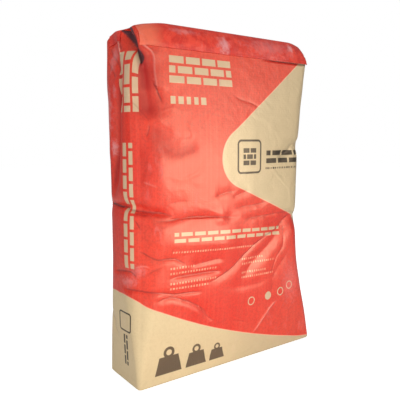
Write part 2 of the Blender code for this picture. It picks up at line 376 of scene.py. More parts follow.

# The sharper creases of the cloth itself. Most of their points were picked as pixels in the photo, and a
# scratch script with the fitted camera turned those into places on the cloth. Others were set or moved.
# All but one height were rounded to whole millimetres afterwards
# Their shade is painted shade, along a thin line or over a zone, and their wear is wear with a painted
# highlight
CREASES = (
    # The mouth of the pleat at the top left corner
    Crease(((-0.206, 0.489), (-0.198, 0.480), (-0.189, 0.470), (-0.178, 0.463), (-0.167, 0.460),
            (-0.156, 0.457), (-0.149, 0.454)), 0.0050, 0.0066, fade=0.15),
    # Top left: the flat facet that the corner is crushed to, in painted shade, and the ridge that borders it
    Crease(((-0.164, 0.465), (-0.154, 0.450), (-0.151, 0.438), (-0.150, 0.423), (-0.148, 0.402)),
           0.0022, 0.0080, fade=0.28, shade=1.0, spread=0.0200),
    Crease(((-0.174, 0.469), (-0.163, 0.464), (-0.153, 0.457), (-0.147, 0.448)), 0.0002, 0.0060,
           fade=0.15, shade=1.0, spread=0.0100),
    Crease(((-0.159, 0.475), (-0.150, 0.470), (-0.141, 0.464), (-0.136, 0.454), (-0.134, 0.439),
            (-0.132, 0.423), (-0.131, 0.413)), -0.0040, 0.0100, right=0.0026, fade=0.10, worn_lit=0.55),
    Crease(((-0.164, 0.425), (-0.153, 0.400), (-0.146, 0.388), (-0.145, 0.370)), 0.0006, 0.0100,
           fade=0.35, shade=0.85, spread=0.0220),
    Crease(((-0.137, 0.428), (-0.132, 0.418), (-0.127, 0.406), (-0.124, 0.397)), 0.0024, 0.0034,
           right=0.0050, shade=0.80, fade=0.3),
    Crease(((-0.179, 0.402), (-0.165, 0.392), (-0.148, 0.379), (-0.144, 0.371)), 0.0016, 0.0060,
           shade=0.25),
    Crease(((-0.144, 0.373), (-0.145, 0.368), (-0.147, 0.360), (-0.151, 0.352)), 0.0014, 0.0045,
           shade=0.40, fade=0.3),
    # The soft dent of the upper front, with painted shade in it
    Crease(((-0.142, 0.374), (-0.136, 0.360), (-0.127, 0.347), (-0.116, 0.335), (-0.104, 0.327)),
           0.0040, 0.0180, right=0.0085, fade=0.3, shade=0.40, spread=0.0125),
    Crease(((-0.118, 0.329), (-0.103, 0.332), (-0.088, 0.337), (-0.069, 0.343)), 0.0020, 0.0150,
           right=0.0060, fade=0.3, shade=0.32, spread=0.0080),
    # The left edge, which is squarer above the waist
    Crease(((-0.148, 0.354), (-0.147, 0.330), (-0.144, 0.315), (-0.142, 0.295), (-0.145, 0.270)),
           -0.0050, 0.0270, right=0.0120, fade=0.35),
    Crease(((-0.141, 0.233), (-0.140, 0.218), (-0.143, 0.206)), -0.0036, 0.0170, right=0.0110, fade=0.3),
    Crease(((-0.158, 0.294), (-0.146, 0.291), (-0.136, 0.287)), -0.0010, 0.0030, worn_lit=0.25),
    Crease(((-0.123, 0.262), (-0.114, 0.263), (-0.102, 0.264), (-0.085, 0.265)), 0.0014, 0.0080,
           right=0.0050, shade=0.15, fade=0.35),
    Crease(((-0.048, 0.268), (-0.041, 0.269), (-0.027, 0.273), (-0.007, 0.275)), 0.0020, 0.0080,
           right=0.0045, shade=0.25, fade=0.3),
    Crease(((-0.011, 0.415), (0.004, 0.409), (0.024, 0.405), (0.049, 0.397)), 0.0008, 0.0036,
           shade=0.25),
    # The side: its tucked triangle, the gusset line, the black crease, and the ridge behind it, with painted
    # shade in the creases and painted highlights on the ridges
    Crease(((-0.217, 0.476), (-0.213, 0.469), (-0.209, 0.462), (-0.203, 0.452)), -0.0018, 0.0030,
           worn_lit=1.0),
    Crease(((-0.210, 0.472), (-0.207, 0.464), (-0.201, 0.456)), 0.0012, 0.0026, shade=0.45),
    Crease(((-0.240, 0.467), (-0.226, 0.455), (-0.213, 0.446), (-0.200, 0.434)), 0.0020, 0.0036,
           shade=0.40),
    Crease(((-0.237, 0.451), (-0.223, 0.441), (-0.210, 0.431)), 0.0014, 0.0030, shade=0.30),
    Crease(((-0.201, 0.446), (-0.203, 0.429), (-0.206, 0.411), (-0.209, 0.395), (-0.209, 0.375),
            (-0.208, 0.356), (-0.210, 0.340), (-0.215, 0.323), (-0.220, 0.304), (-0.225, 0.276)),
           0.0040, 0.0056, right=0.0036, fade=0.10, shade=1.0, spread=0.0030),
    Crease(((-0.224, 0.408), (-0.225, 0.380), (-0.224, 0.350), (-0.229, 0.315)), -0.0026, 0.0080,
           worn_lit=0.15),
    Crease(((-0.242, 0.258), (-0.227, 0.259), (-0.210, 0.258), (-0.197, 0.258), (-0.186, 0.257)),
           0.0042, 0.0050, right=0.0034, fade=0.12, shade=1.0),
    # The waist, whose fold is shallow right of the corner
    Crease(((-0.130, 0.249), (-0.106, 0.242), (-0.069, 0.239), (-0.018, 0.238)), -0.0058, 0.0100,
           fade=0.15),
    Crease(((-0.200, 0.258), (-0.180, 0.255), (-0.147, 0.252), (-0.127, 0.250), (-0.108, 0.246)),
           0.0040, 0.0080, right=0.0036, lip=-0.25, shade=0.60),
    Crease(((-0.183, 0.251), (-0.166, 0.249), (-0.146, 0.247)), 0.0012, 0.0032, shade=0.35, lip=-0.3),
    Crease(((-0.150, 0.241), (-0.131, 0.240), (-0.113, 0.239), (-0.087, 0.243), (-0.063, 0.242),
            (-0.039, 0.239), (0.004, 0.233)), 0.0020, 0.0050, right=0.0036, lip=-0.25, fade=0.3,
           shade=0.45),
    Crease(((-0.015, 0.247), (0.006, 0.250), (0.033, 0.251), (0.068, 0.254)), 0.0026, 0.0100,
           right=0.0055, shade=0.25, fade=0.3),
    Crease(((-0.016, 0.266), (0.003, 0.270), (0.021, 0.275)), 0.0016, 0.0070, right=0.0045, shade=0.15),
    Crease(((0.000, 0.231), (0.041, 0.232), (0.075, 0.233), (0.118, 0.233), (0.150, 0.230)),
           0.0026, 0.0090, right=0.0045, shade=0.30),
    # The swelling under the waist
    Crease(((-0.148, 0.206), (-0.100, 0.204), (-0.050, 0.200), (0.010, 0.195)), -0.0056, 0.0300,
           right=0.0220, fade=0.25),
    # The right edge
    Crease(((0.170, 0.344), (0.125, 0.343), (0.115, 0.333), (0.104, 0.329), (0.079, 0.325)),
           0.0024, 0.0050, shade=0.10),
    Crease(((0.145, 0.233), (0.121, 0.226), (0.106, 0.217), (0.092, 0.208), (0.063, 0.200),
            (0.035, 0.188), (0.015, 0.177), (0.005, 0.170), (-0.017, 0.155), (-0.041, 0.145),
            (-0.061, 0.141)), 0.0027, 0.0080, right=0.0150, fade=0.12, shade=0.45),
    Crease(((0.112, 0.224), (0.110, 0.210), (0.107, 0.200), (0.104, 0.179), (0.087, 0.161),
            (0.078, 0.144), (0.066, 0.133)), 0.0016, 0.0065, right=0.0120, shade=0.25),
    Crease(((0.119, 0.169), (0.103, 0.154), (0.088, 0.141), (0.078, 0.129), (0.075, 0.107),
            (0.062, 0.092)), 0.0016, 0.0080, shade=0.10),
    Crease(((0.075, 0.128), (0.039, 0.124), (0.004, 0.124), (-0.030, 0.128)), 0.0020, 0.0060,
           right=0.0110, fade=0.3),
    Crease(((0.090, 0.088), (0.074, 0.079), (0.059, 0.064), (0.043, 0.047), (0.033, 0.039)),
           -0.0012, 0.0030, worn_lit=0.6),
    # The lower left
    Crease(((-0.176, 0.243), (-0.171, 0.236), (-0.163, 0.227)), 0.0024, 0.0060, shade=0.45, fade=0.4),
    Crease(((-0.173, 0.200), (-0.154, 0.193), (-0.135, 0.186), (-0.124, 0.186), (-0.110, 0.185),
            (-0.099, 0.179), (-0.088, 0.172)), 0.0050, 0.0130, right=0.0060, fade=0.2, shade=0.50),
    Crease(((-0.153, 0.166), (-0.136, 0.173), (-0.124, 0.177)), 0.0018, 0.0060, right=0.0040,
           shade=0.30, fade=0.35),
    Crease(((-0.090, 0.169), (-0.068, 0.173), (-0.053, 0.174), (-0.037, 0.175), (-0.024, 0.173)),
           0.0036, 0.0130, right=0.0055, shade=0.20),
    Crease(((-0.123, 0.156), (-0.108, 0.158), (-0.089, 0.158), (-0.066, 0.158), (-0.042, 0.157),
            (-0.025, 0.154)), 0.0034, 0.0075, right=0.0045, lip=-0.25, shade=0.45),
    Crease(((-0.224, 0.162), (-0.200, 0.167), (-0.184, 0.168), (-0.170, 0.160)), 0.0038, 0.0080,
           right=0.0045, shade=0.55),
    Crease(((-0.201, 0.143), (-0.175, 0.143), (-0.147, 0.141), (-0.128, 0.138), (-0.108, 0.133),
            (-0.086, 0.132), (-0.062, 0.130)), 0.0026, 0.0060, right=0.0035, lip=-0.25, fade=0.12,
           shade=0.50),
    Crease(((-0.142, 0.122), (-0.136, 0.126), (-0.125, 0.129), (-0.110, 0.128), (-0.088, 0.119),
            (-0.073, 0.110), (-0.059, 0.099), (-0.051, 0.087)), 0.0034, 0.0075, right=0.0048,
           lip=-0.35, shade=0.40),
    Crease(((-0.068, 0.104), (-0.053, 0.089), (-0.040, 0.077)), 0.0024, 0.0060, right=0.0045,
           shade=0.30, fade=0.35),
    Crease(((-0.177, 0.175), (-0.156, 0.178), (-0.145, 0.175)), -0.0012, 0.0030, worn_lit=0.35),
    Crease(((-0.012, 0.072), (-0.002, 0.071), (0.025, 0.062)), 0.0008, 0.0034, shade=0.15),
    # The shaded side under the waist, and the shadow under the cover patch's lifted end
    Crease(((-0.236, 0.248), (-0.237, 0.215), (-0.237, 0.186), (-0.236, 0.160)), 0.0006, 0.0100,
           fade=0.2, shade=0.60, spread=0.0170),
    Crease(((0.050, 0.4717), (0.190, 0.4710)), 0.0002, 0.0030, shade=1.0),
    # The bottom block
    Crease(((-0.248, 0.104), (-0.229, 0.089), (-0.227, 0.074), (-0.211, 0.069)), 0.0026, 0.0042,
           worn_lit=0.2, shade=0.25),
    Crease(((-0.170, 0.012), (-0.141, 0.015), (-0.081, 0.020), (-0.034, 0.025), (0.027, 0.030)),
           0.0012, 0.0060),
)


@dataclass(frozen=True)
class Lattice:
    """The rows and columns that the cloth is divided into, closer where it is creased most.

    Attributes:
        form: The bag's form.
        spacing: The first spacing of the lines across each axis.
        zones: For each axis, where another spacing starts, and what it is.
        nearest: How near a line may come to a wanted one, as a share of the spacing.
    """

    form: BagForm
    spacing: tuple[float, float, float] = (0.0043, 0.0044, 0.0058)
    zones: tuple[Stations, Stations, Stations] = (
        ((0.060, 0.0056),), ((0.010, 0.0050),), ((0.125, 0.0036), (0.275, 0.0052), (0.415, 0.0034)))
    nearest: float = 0.35

    def lines(self, axis: int, low: float, end: float, wanted: tuple[float, ...]) -> np.ndarray:
        """Places for the lines across one axis, with lines at the wanted places too.

        Args:
            axis: The axis that the lines lie across.
            low: Where the first zone starts.
            end: Where the last zone ends.
            wanted: Places that have to have a line.

        Returns:
            The places of the lines between the two ends, in order.
        """
        starts, spacings = zip((low, self.spacing[axis]), *self.zones[axis])
        places = []
        for start, stop, spacing in zip(starts, (*starts[1:], end), spacings):
            zone = np.linspace(start, stop, round((stop - start) / spacing) + 1)[1:]
            places += [p for p in zone if all(abs(p - w) > spacing * self.nearest for w in wanted)]
        return np.array(sorted([p for p in places if p < end - TOLERANCE] + list(wanted)))

    def box(self, wanted: tuple[tuple[float, ...], ...]) -> bmesh.types.BMesh:
        """The plain box of cloth, divided into rows and columns.

        Args:
            wanted: Places on each of the three axes that have to have a line.

        Returns:
            The box's mesh.
        """
        size = (self.form.width, self.form.depth, self.form.height)
        low = (-size[0] / 2, -size[1] / 2, 0.0)
        mesh = bmesh.new()
        bmesh.ops.create_cube(mesh, size=1.0, matrix=Matrix.Translation((0.5, 0.5, 0.5)))
        for axis in range(3):
            high = low[axis] + size[axis]
            places = self.lines(axis, low[axis], high, wanted[axis])
            edges = [e for e in mesh.edges
                     if abs(e.verts[0].co[axis] - e.verts[1].co[axis]) > TOLERANCE]
            bmesh.ops.subdivide_edges(mesh, edges=edges, cuts=len(places), use_grid_fill=True)
            even = np.linspace(0.0, 1.0, len(places) + 2)
            place = np.concatenate(([low[axis]], places, [high]))
            for vert in mesh.verts:
                vert.co[axis] = np.interp(vert.co[axis], even, place)
        return mesh


def places_of(mesh: bpy.types.Mesh) -> np.ndarray:
    """Reads where a mesh's points lie.

    Args:
        mesh: The mesh.

    Returns:
        The places, one row each.
    """
    places = np.empty(len(mesh.vertices) * 3)
    mesh.vertices.foreach_get("co", places)
    return places.reshape(-1, 3)


def move_points(mesh: bpy.types.Mesh, places: np.ndarray) -> None:
    """Puts a mesh's points at those places.

    Args:
        mesh: The mesh to change.
        places: The new places, one row each.
    """
    mesh.vertices.foreach_set("co", np.ascontiguousarray(places, dtype=np.float32).ravel())
    mesh.update()


def normals_of(mesh: bpy.types.Mesh) -> np.ndarray:
    """Reads which way a mesh faces at its points.

    Args:
        mesh: The mesh.

    Returns:
        The outward directions, one row each.
    """
    normals = np.empty(len(mesh.vertices) * 3)
    mesh.vertex_normals.foreach_get("vector", normals)
    return normals.reshape(-1, 3)


def keep_attribute(mesh: bpy.types.Mesh, name: str, values: np.ndarray) -> None:
    """Stores one number a point, for the materials to read.

    Args:
        mesh: The mesh that carries it.
        name: The attribute's name.
        values: The numbers.
    """
    attribute = mesh.attributes.new(name, "FLOAT", "POINT")
    attribute.data.foreach_set("value", values.astype(np.float32))


@dataclass(frozen=True)
class Settling:
    """The cloth simulation: the powder's pressure on a cloth that is cut a little too large, so that
    it rounds and wrinkles between the ends that hold it."""

    pressure: float = 4.0
    growth: float = 0.006
    bending: float = 0.5
    quality: int = 5
    frames: int = 20
    largest_move: float = 0.0016
    held_ends: float = 0.045
    least_hold: float = 0.01

    def hold(self, form: BagForm, flat: np.ndarray, folds: tuple[Crease, ...]) -> np.ndarray:
        """How firmly each point of the cloth is held, from 0 to 1.

        Args:
            form: The bag's form.
            flat: The points' places on the plain box.
            folds: The folds, which hold their shape.

        Returns:
            The hold on each point.
        """
        cloth = form.cloth(flat)
        end = np.minimum(cloth[:, 1], form.height - cloth[:, 1])
        held = 1 - smooth(end / self.held_ends)
        for fold in folds:
            held = np.maximum(held, np.abs(fold.pull(cloth)) / abs(fold.depth))
        return np.minimum(held, 1.0)

    def run(self, mesh: bpy.types.Mesh, held: np.ndarray) -> np.ndarray:
        """Lets the cloth settle.

        Args:
            mesh: The shaped sack.
            held: How firmly each point is held.

        Returns:
            How far each point moved, one row each.
        """
        start = places_of(mesh)
        sack = bpy.data.objects.new("settling_sack", mesh)
        bpy.context.scene.collection.objects.link(sack)
        group = sack.vertex_groups.new(name="held")
        for index, weight in enumerate(held):
            if weight > self.least_hold:
                group.add([index], float(weight), "REPLACE")
        modifier = sack.modifiers.new("settling", "CLOTH")
        cloth = modifier.settings
        cloth.quality = self.quality
        cloth.use_pressure = True
        cloth.uniform_pressure_force = self.pressure
        cloth.effector_weights.gravity = 0.0
        cloth.shrink_min = -self.growth
        cloth.bending_stiffness = self.bending
        cloth.vertex_group_mass = "held"
        modifier.collision_settings.use_collision = False
        modifier.point_cache.frame_end = self.frames
        for step in range(1, self.frames + 1):
            bpy.context.scene.frame_set(step)
        settled = sack.evaluated_get(bpy.context.evaluated_depsgraph_get())
        moved = places_of(settled.to_mesh()) - start
        settled.to_mesh_clear()
        bpy.data.objects.remove(sack)
        bpy.context.scene.frame_set(1)
        length = np.linalg.norm(moved, axis=1, keepdims=True)
        log.info("settling moved the cloth by up to %.1f mm, %.1f mm on average",
                 length.max() * 1000, length.mean() * 1000)
        return moved * np.minimum(1.0, self.largest_move / np.maximum(length, TOLERANCE))


# Colours


Colour = tuple[float, float, float]


class Ink(Enum):
    """The colours of the film, its print and what lies on it, and of the painted shade and highlights, in
    linear light.
    """

    RED = (0.700, 0.022, 0.012)
    CORAL = (0.750, 0.038, 0.018)
    KRAFT = (0.660, 0.515, 0.300)
    DULL_KRAFT = (0.620, 0.480, 0.275)
    DARK_KRAFT = (0.520, 0.380, 0.220)
    # Painted shade: the kraft darker towards the right of the front
    FADED_KRAFT = (0.460, 0.365, 0.225)
    PRINT = (0.610, 0.430, 0.268)
    PALE = (0.900, 0.600, 0.400)
    FAINT = (0.860, 0.420, 0.260)
    UMBER = (0.100, 0.068, 0.042)
    BLACK = (0.020, 0.014, 0.008)
    DUST = (0.800, 0.440, 0.450)
    # Wear, with a painted highlight on the ridges
    WORN = (0.950, 0.500, 0.420)
    BRIGHT = (0.920, 0.240, 0.130)
    # Mottle, and painted shade in the crushed and shaded zones
    DEEP = (0.350, 0.006, 0.010)
    SHADOW = (0.050, 0.006, 0.016)
    # Painted shadow inside the pleat's mouth, and the fold in it painted in shade
    HOLLOW = (0.085, 0.020, 0.034)
    FOLD = (0.420, 0.090, 0.100)


# Shader helpers


class Signal:
    """What one socket of a shader says. Arithmetic on it adds Math nodes to its tree."""

    def __init__(self, wiring: "Wiring", socket: Socket) -> None:
        """Stands for that socket."""
        self.wiring, self.socket = wiring, socket

    def __add__(self, other: "Value") -> "Signal":
        """The sum."""
        return self.wiring.maths("ADD", self, other)

    def __sub__(self, other: "Value") -> "Signal":
        """The difference."""
        return self.wiring.maths("SUBTRACT", self, other)

    def __rsub__(self, other: float) -> "Signal":
        """A plain number less this one."""
        return self.wiring.maths("SUBTRACT", other, self)

    def __mul__(self, other: "Value") -> "Signal":
        """The product."""
        return self.wiring.maths("MULTIPLY", self, other)

    def __truediv__(self, other: "Value") -> "Signal":
        """The quotient."""
        return self.wiring.maths("DIVIDE", self, other)

    def __mod__(self, other: "Value") -> "Signal":
        """What is left of it after whole steps of another number."""
        return self.wiring.maths("FLOORED_MODULO", self, other)

    def __pow__(self, other: "Value") -> "Signal":
        """The power."""
        return self.wiring.maths("POWER", self, other)

    def __abs__(self) -> "Signal":
        """The same number without its sign."""
        return self.wiring.maths("ABSOLUTE", self)

    def floor(self) -> "Signal":
        """The whole number at or below it."""
        return self.wiring.maths("FLOOR", self)

    def fract(self) -> "Signal":
        """How far it is above that whole number."""
        return self.wiring.maths("FRACT", self)

    def least(self, other: "Value") -> "Signal":
        """The lesser of two numbers."""
        return self.wiring.maths("MINIMUM", self, other)

    def most(self, other: "Value") -> "Signal":
        """The greater of two numbers."""
        return self.wiring.maths("MAXIMUM", self, other)

    def inside(self, length: "Value") -> "Signal":
        """How far it lies inside the span from 0 to a length, negative outside."""
        half = length * 0.5
        return half - abs(self - half)

    def step(self, low: "Value", high: "Value") -> "Signal":
        """A smooth step up, from 0 at the lower number to 1 at the higher."""
        return self.wiring.ramp(self, low, high, 0.0, 1.0)

    def fall(self, low: "Value", high: "Value") -> "Signal":
        """A smooth step down, from 1 at the lower number to 0 at the higher."""
        return self.wiring.ramp(self, low, high, 1.0, 0.0)


Value = Signal | float


class Wiring:
    """A shader node tree, with short calls that add nodes and join them."""

    def __init__(self, tree: bpy.types.NodeTree) -> None:
        """Starts on a tree."""
        self.tree = tree

    def node(self, kind: str, **settings: object) -> bpy.types.Node:
        """Adds a node.

        Args:
            kind: Blender's name for it.
            settings: Its own settings.

        Returns:
            The node.
        """
        made = self.tree.nodes.new(kind)
        for name, value in settings.items():
            setattr(made, name, value)
        return made

    def join(self, value: object, socket: Socket) -> None:
        """Links a signal to a socket, or sets the socket where the value is plain."""
        if isinstance(value, Signal):
            self.tree.links.new(value.socket, socket)
        elif socket.type == "RGBA":
            socket.default_value = (*(value.value if isinstance(value, Ink) else value), 1.0)
        else:
            socket.default_value = value

    def read(self, kind: str, inputs: dict[str | int, object], output: str | int = 0,
             **settings: object) -> Signal:
        """Adds a node and reads one of its outputs.

        Args:
            kind: Blender's name for the node.
            inputs: What its inputs get, by their names or numbers.
            output: The output's name or number.
            settings: The node's own settings.

        Returns:
            The output.
        """
        made = self.node(kind, **settings)
        for name, value in inputs.items():
            self.join(value, made.inputs[name])
        return Signal(self, made.outputs[output])

    def maths(self, operation: str, *numbers: Value) -> Signal:
        """One step of arithmetic on those numbers, by Blender's name for it."""
        return self.read("ShaderNodeMath", dict(enumerate(numbers)), operation=operation)

    def ramp(self, *numbers: Value) -> Signal:
        """A smooth ramp: of a number, between two others, to two results."""
        return self.read("ShaderNodeMapRange", dict(enumerate(numbers)), interpolation_type="SMOOTHSTEP")

    def mix(self, share: Value, first: Signal | Ink | Colour, second: Signal | Ink | Colour) -> Signal:
        """The first colour with a share of the second in it."""
        return self.read("ShaderNodeMix", {0: share, 6: first, 7: second}, 2, data_type="RGBA")

    def noise(self, place: Signal, scale: Value, detail: float = 2.0, roughness: float = 0.5,
              distortion: float = 0.0) -> Signal:
        """Cloudy noise at that place, from 0 to 1.

        Args:
            place: The place to read.
            scale: How many clouds there are in a metre.
            detail: How many finer layers it has.
            roughness: How strong the finer layers are.
            distortion: How twisted it is.

        Returns:
            The noise.
        """
        return self.read("ShaderNodeTexNoise", {"Vector": place, "Scale": scale, "Detail": detail,
                                                "Roughness": roughness, "Distortion": distortion}, "Fac")

    def chance(self, number: Signal) -> Signal:
        """A random number from 0 to 1 for each whole number."""
        return self.read("ShaderNodeTexWhiteNoise", {"W": number}, "Value", noise_dimensions="1D")

    def split(self, place: Signal) -> tuple[Signal, Signal]:
        """Takes a place apart.

        Args:
            place: The place.

        Returns:
            Its first two parts.
        """
        made = self.node("ShaderNodeSeparateXYZ")
        self.join(place, made.inputs[0])
        return Signal(self, made.outputs[0]), Signal(self, made.outputs[1])

    def gather(self, x: Value, y: Value) -> Signal:
        """A place from its first two parts."""
        return self.read("ShaderNodeCombineXYZ", {0: x, 1: y})

    def distance(self, x: Signal, y: Signal) -> Signal:
        """How far the place x, y is from 0, 0."""
        return (x**2.0 + y**2.0) ** 0.5

    def placed(self, place: Signal, at: Station, turn: float = 0.0, size: float = 1.0) -> Signal:
        """Cloth coordinates that start at a motif's corner and run along it.

        Args:
            place: The cloth coordinates.
            at: Where the motif's corner lies.
            turn: How far it is turned, in degrees.
            size: How much it is enlarged.

        Returns:
            The motif's own coordinates.
        """
        return self.read("ShaderNodeMapping",
                         {"Vector": place, "Location": (*at, 0.0), "Scale": (size, size, 1.0),
                          "Rotation": (0.0, 0.0, math.radians(turn))}, vector_type="TEXTURE")


class Effect:
    """A look that several materials or motifs share, as a node group that is built once. Where a constant
    of it has two numbers, a step starts and ends there. One with more is a noise: its scale, how many finer
    layers it has, how strong they are, and how twisted it is."""

    NAME = ""
    INPUTS: dict[str, float] = {}
    OUTPUTS: tuple[str, ...] = ()
    VECTOR_INPUTS: tuple[str, ...] = ("Place",)

    def build(self, wiring: Wiring, given: dict[str, Signal]) -> dict[str, Signal]:
        """Fills the group.

        Args:
            wiring: The group's tree.
            given: The group's inputs by name.

        Returns:
            The group's outputs by name.
        """
        raise NotImplementedError

    def group(self) -> bpy.types.NodeTree:
        """The node group, built the first time that it is asked for."""
        found = bpy.data.node_groups.get(self.NAME)
        if found:
            return found
        tree = bpy.data.node_groups.new(self.NAME, "ShaderNodeTree")
        for name in self.VECTOR_INPUTS:
            tree.interface.new_socket(name=name, in_out="INPUT", socket_type="NodeSocketVector")
        for name, value in self.INPUTS.items():
            socket = tree.interface.new_socket(name=name, in_out="INPUT", socket_type="NodeSocketFloat")
            socket.default_value = value
        for name in self.OUTPUTS:
            tree.interface.new_socket(name=name, in_out="OUTPUT", socket_type="NodeSocketFloat")
        wiring = Wiring(tree)
        start, end = wiring.node("NodeGroupInput"), wiring.node("NodeGroupOutput")
        given = {socket.name: Signal(wiring, socket) for socket in start.outputs if socket.name}
        for name, value in self.build(wiring, given).items():
            wiring.join(value, end.inputs[name])
        return tree

    def place(self, wiring: Wiring, **values: Value) -> dict[str, Signal]:
        """Adds the group to a material.

        Args:
            wiring: The material's tree.
            values: What its inputs get, by name.

        Returns:
            The group's outputs by name.
        """
        made = wiring.node("ShaderNodeGroup", node_tree=self.group())
        for name, value in values.items():
            wiring.join(value, made.inputs[name])
        return {socket.name: Signal(wiring, socket) for socket in made.outputs}


class WovenTapes(Effect):
    """The plain weave of flat plastic tapes under the film."""

    NAME = "Woven Tapes"
    INPUTS = {"Pitch": 0.0034}
    OUTPUTS = ("Height", "Shade")

    TAPE_EDGE = (0.05, 0.5)
    UNDER_HEIGHT = 0.72
    WEFT_SHADE = 0.3

    def build(self, wiring: Wiring, given: dict[str, Signal]) -> dict[str, Signal]:
        """Fills the group: tapes that go over and under each other, and their uneven shade.

        Args:
            wiring: The group's tree.
            given: The group's inputs by name.

        Returns:
            The group's outputs by name.
        """
        counts = [part / given["Pitch"] for part in wiring.split(given["Place"])]
        warp, weft = (abs(wiring.maths("SINE", count * math.pi)) for count in counts)
        over = (counts[0].floor() + counts[1].floor()) % 2.0
        high = (warp * weft) ** 0.5
        low = high * self.UNDER_HEIGHT
        shades = [wiring.chance(count.floor()) * edge.step(*self.TAPE_EDGE)
                  for count, edge in zip(counts, (warp, weft))]
        return {"Height": over * (high - low) + low, "Shade": shades[1] * self.WEFT_SHADE + shades[0]}


class FilmCrumple(Effect):
    """The fine crumples of a stiff film that has been folded and handled. The scale of its dents and
    cracks is an input."""

    NAME = "Film Crumple"
    INPUTS = {"Scale": 28.0}
    OUTPUTS = ("Height",)

    DENTS = (5.0, 0.56, 0.4)
    CRACKS = (1.0, 0.5, 0.8)
    CRACK_SCALE = 0.6
    CRACK_WIDTH = 0.10
    CRACK_HEIGHT = 0.25
    CRACKED_PARTS = 9.0
    CRACKED = (0.46, 0.62)

    def build(self, wiring: Wiring, given: dict[str, Signal]) -> dict[str, Signal]:
        """Fills the group: soft dents, and thin ridged lines where the film has cracked.

        Args:
            wiring: The group's tree.
            given: The group's inputs by name.

        Returns:
            The group's outputs by name.
        """
        dents = wiring.noise(given["Place"], given["Scale"], *self.DENTS)
        cracks = wiring.noise(given["Place"], given["Scale"] * self.CRACK_SCALE, *self.CRACKS)
        cracked = wiring.noise(given["Place"], self.CRACKED_PARTS, 1.0).step(*self.CRACKED)
        line = abs(cracks - 0.5).fall(0.0, self.CRACK_WIDTH) * cracked
        return {"Height": dents + line * self.CRACK_HEIGHT}


class CementDust(Effect):
    """Pale cement dust and scuffs, in smears and specks."""

    NAME = "Cement Dust"
    INPUTS = {"Amount": 0.3}
    OUTPUTS = ("Dust", "Scuff")

    CLOUDS = (11.0, 4.0, 0.62)
    SMEARS = (75.0, 3.0, 0.7, 0.3)
    SMEAR_STRETCH = (1.0, 1.0, 0.35)
    SMEAR_LEAN = math.radians(24)
    # Dust shows where the clouds are above DUST_FROM, less DUST_MORE for the whole amount
    DUST_FROM = 0.78
    DUST_MORE = 0.4
    DUST_EDGE = 0.28
    SMEARED = (0.56, 0.74)
    CLOUDED = (0.50, 0.68)

    def build(self, wiring: Wiring, given: dict[str, Signal]) -> dict[str, Signal]:
        """Fills the group: cloudy dust, and short smeared scuffs inside it.

        Args:
            wiring: The group's tree.
            given: The group's inputs by name.

        Returns:
            The group's outputs by name.
        """
        cloud = wiring.noise(given["Place"], *self.CLOUDS)
        low = self.DUST_FROM - given["Amount"] * self.DUST_MORE
        stretched = wiring.read("ShaderNodeMapping", {"Vector": given["Place"], "Scale": self.SMEAR_STRETCH,
                                                      "Rotation": (0.0, self.SMEAR_LEAN, 0.0)})
        smear = wiring.noise(stretched, *self.SMEARS)
        return {"Dust": cloud.step(low, low + self.DUST_EDGE),
                "Scuff": smear.step(*self.SMEARED) * cloud.step(*self.CLOUDED)}


class CreaseLines(Effect):
    """The thin line of painted shade, or of wear with a painted highlight, in each crease, from the distance
    to the nearest one.
    """

    NAME = "Crease Lines"
    VECTOR_INPUTS = ()
    INPUTS = {"Line": 0.02, "Worn": 0.0, "Shade": 0.0, "Width": 0.0011}
    OUTPUTS = ("Worn", "Shade", "Groove")

    LINE_REACH = 2.0
    GROOVE_REACH = 3.4

    def build(self, wiring: Wiring, given: dict[str, Signal]) -> dict[str, Signal]:
        """Fills the group: a soft thin line, and a wider groove for the relief.

        Args:
            wiring: The group's tree.
            given: The group's inputs by name.

        Returns:
            The group's outputs by name.
        """
        away = abs(given["Line"])
        thin = away.fall(0.0, given["Width"] * self.LINE_REACH)
        wide = away.fall(0.0, given["Width"] * self.GROOVE_REACH)
        return {"Worn": given["Worn"] * thin, "Shade": given["Shade"] * thin,
                "Groove": (given["Worn"] - given["Shade"]) * wide}


class DustySpot(Effect):
    """A dusty or scuffed spot with a ragged edge. Its coordinates start at its middle."""

    NAME = "Dusty Spot"
    INPUTS = {"Wide": 0.01, "High": 0.01}
    OUTPUTS = ("Mask",)

    SPECKS = (160.0, 4.0, 0.65)
    RAGGED = 2.2
    EDGE = (1.15, 2.15)

    def build(self, wiring: Wiring, given: dict[str, Signal]) -> dict[str, Signal]:
        """Fills the group: an oval that noise breaks up.

        Args:
            wiring: The group's tree.
            given: The group's inputs by name.

        Returns:
            The group's outputs by name.
        """
        x, y = wiring.split(given["Place"])
        far = wiring.distance(x / given["Wide"], y / given["High"])
        return {"Mask": (wiring.noise(given["Place"], *self.SPECKS) * self.RAGGED + far).fall(*self.EDGE)}


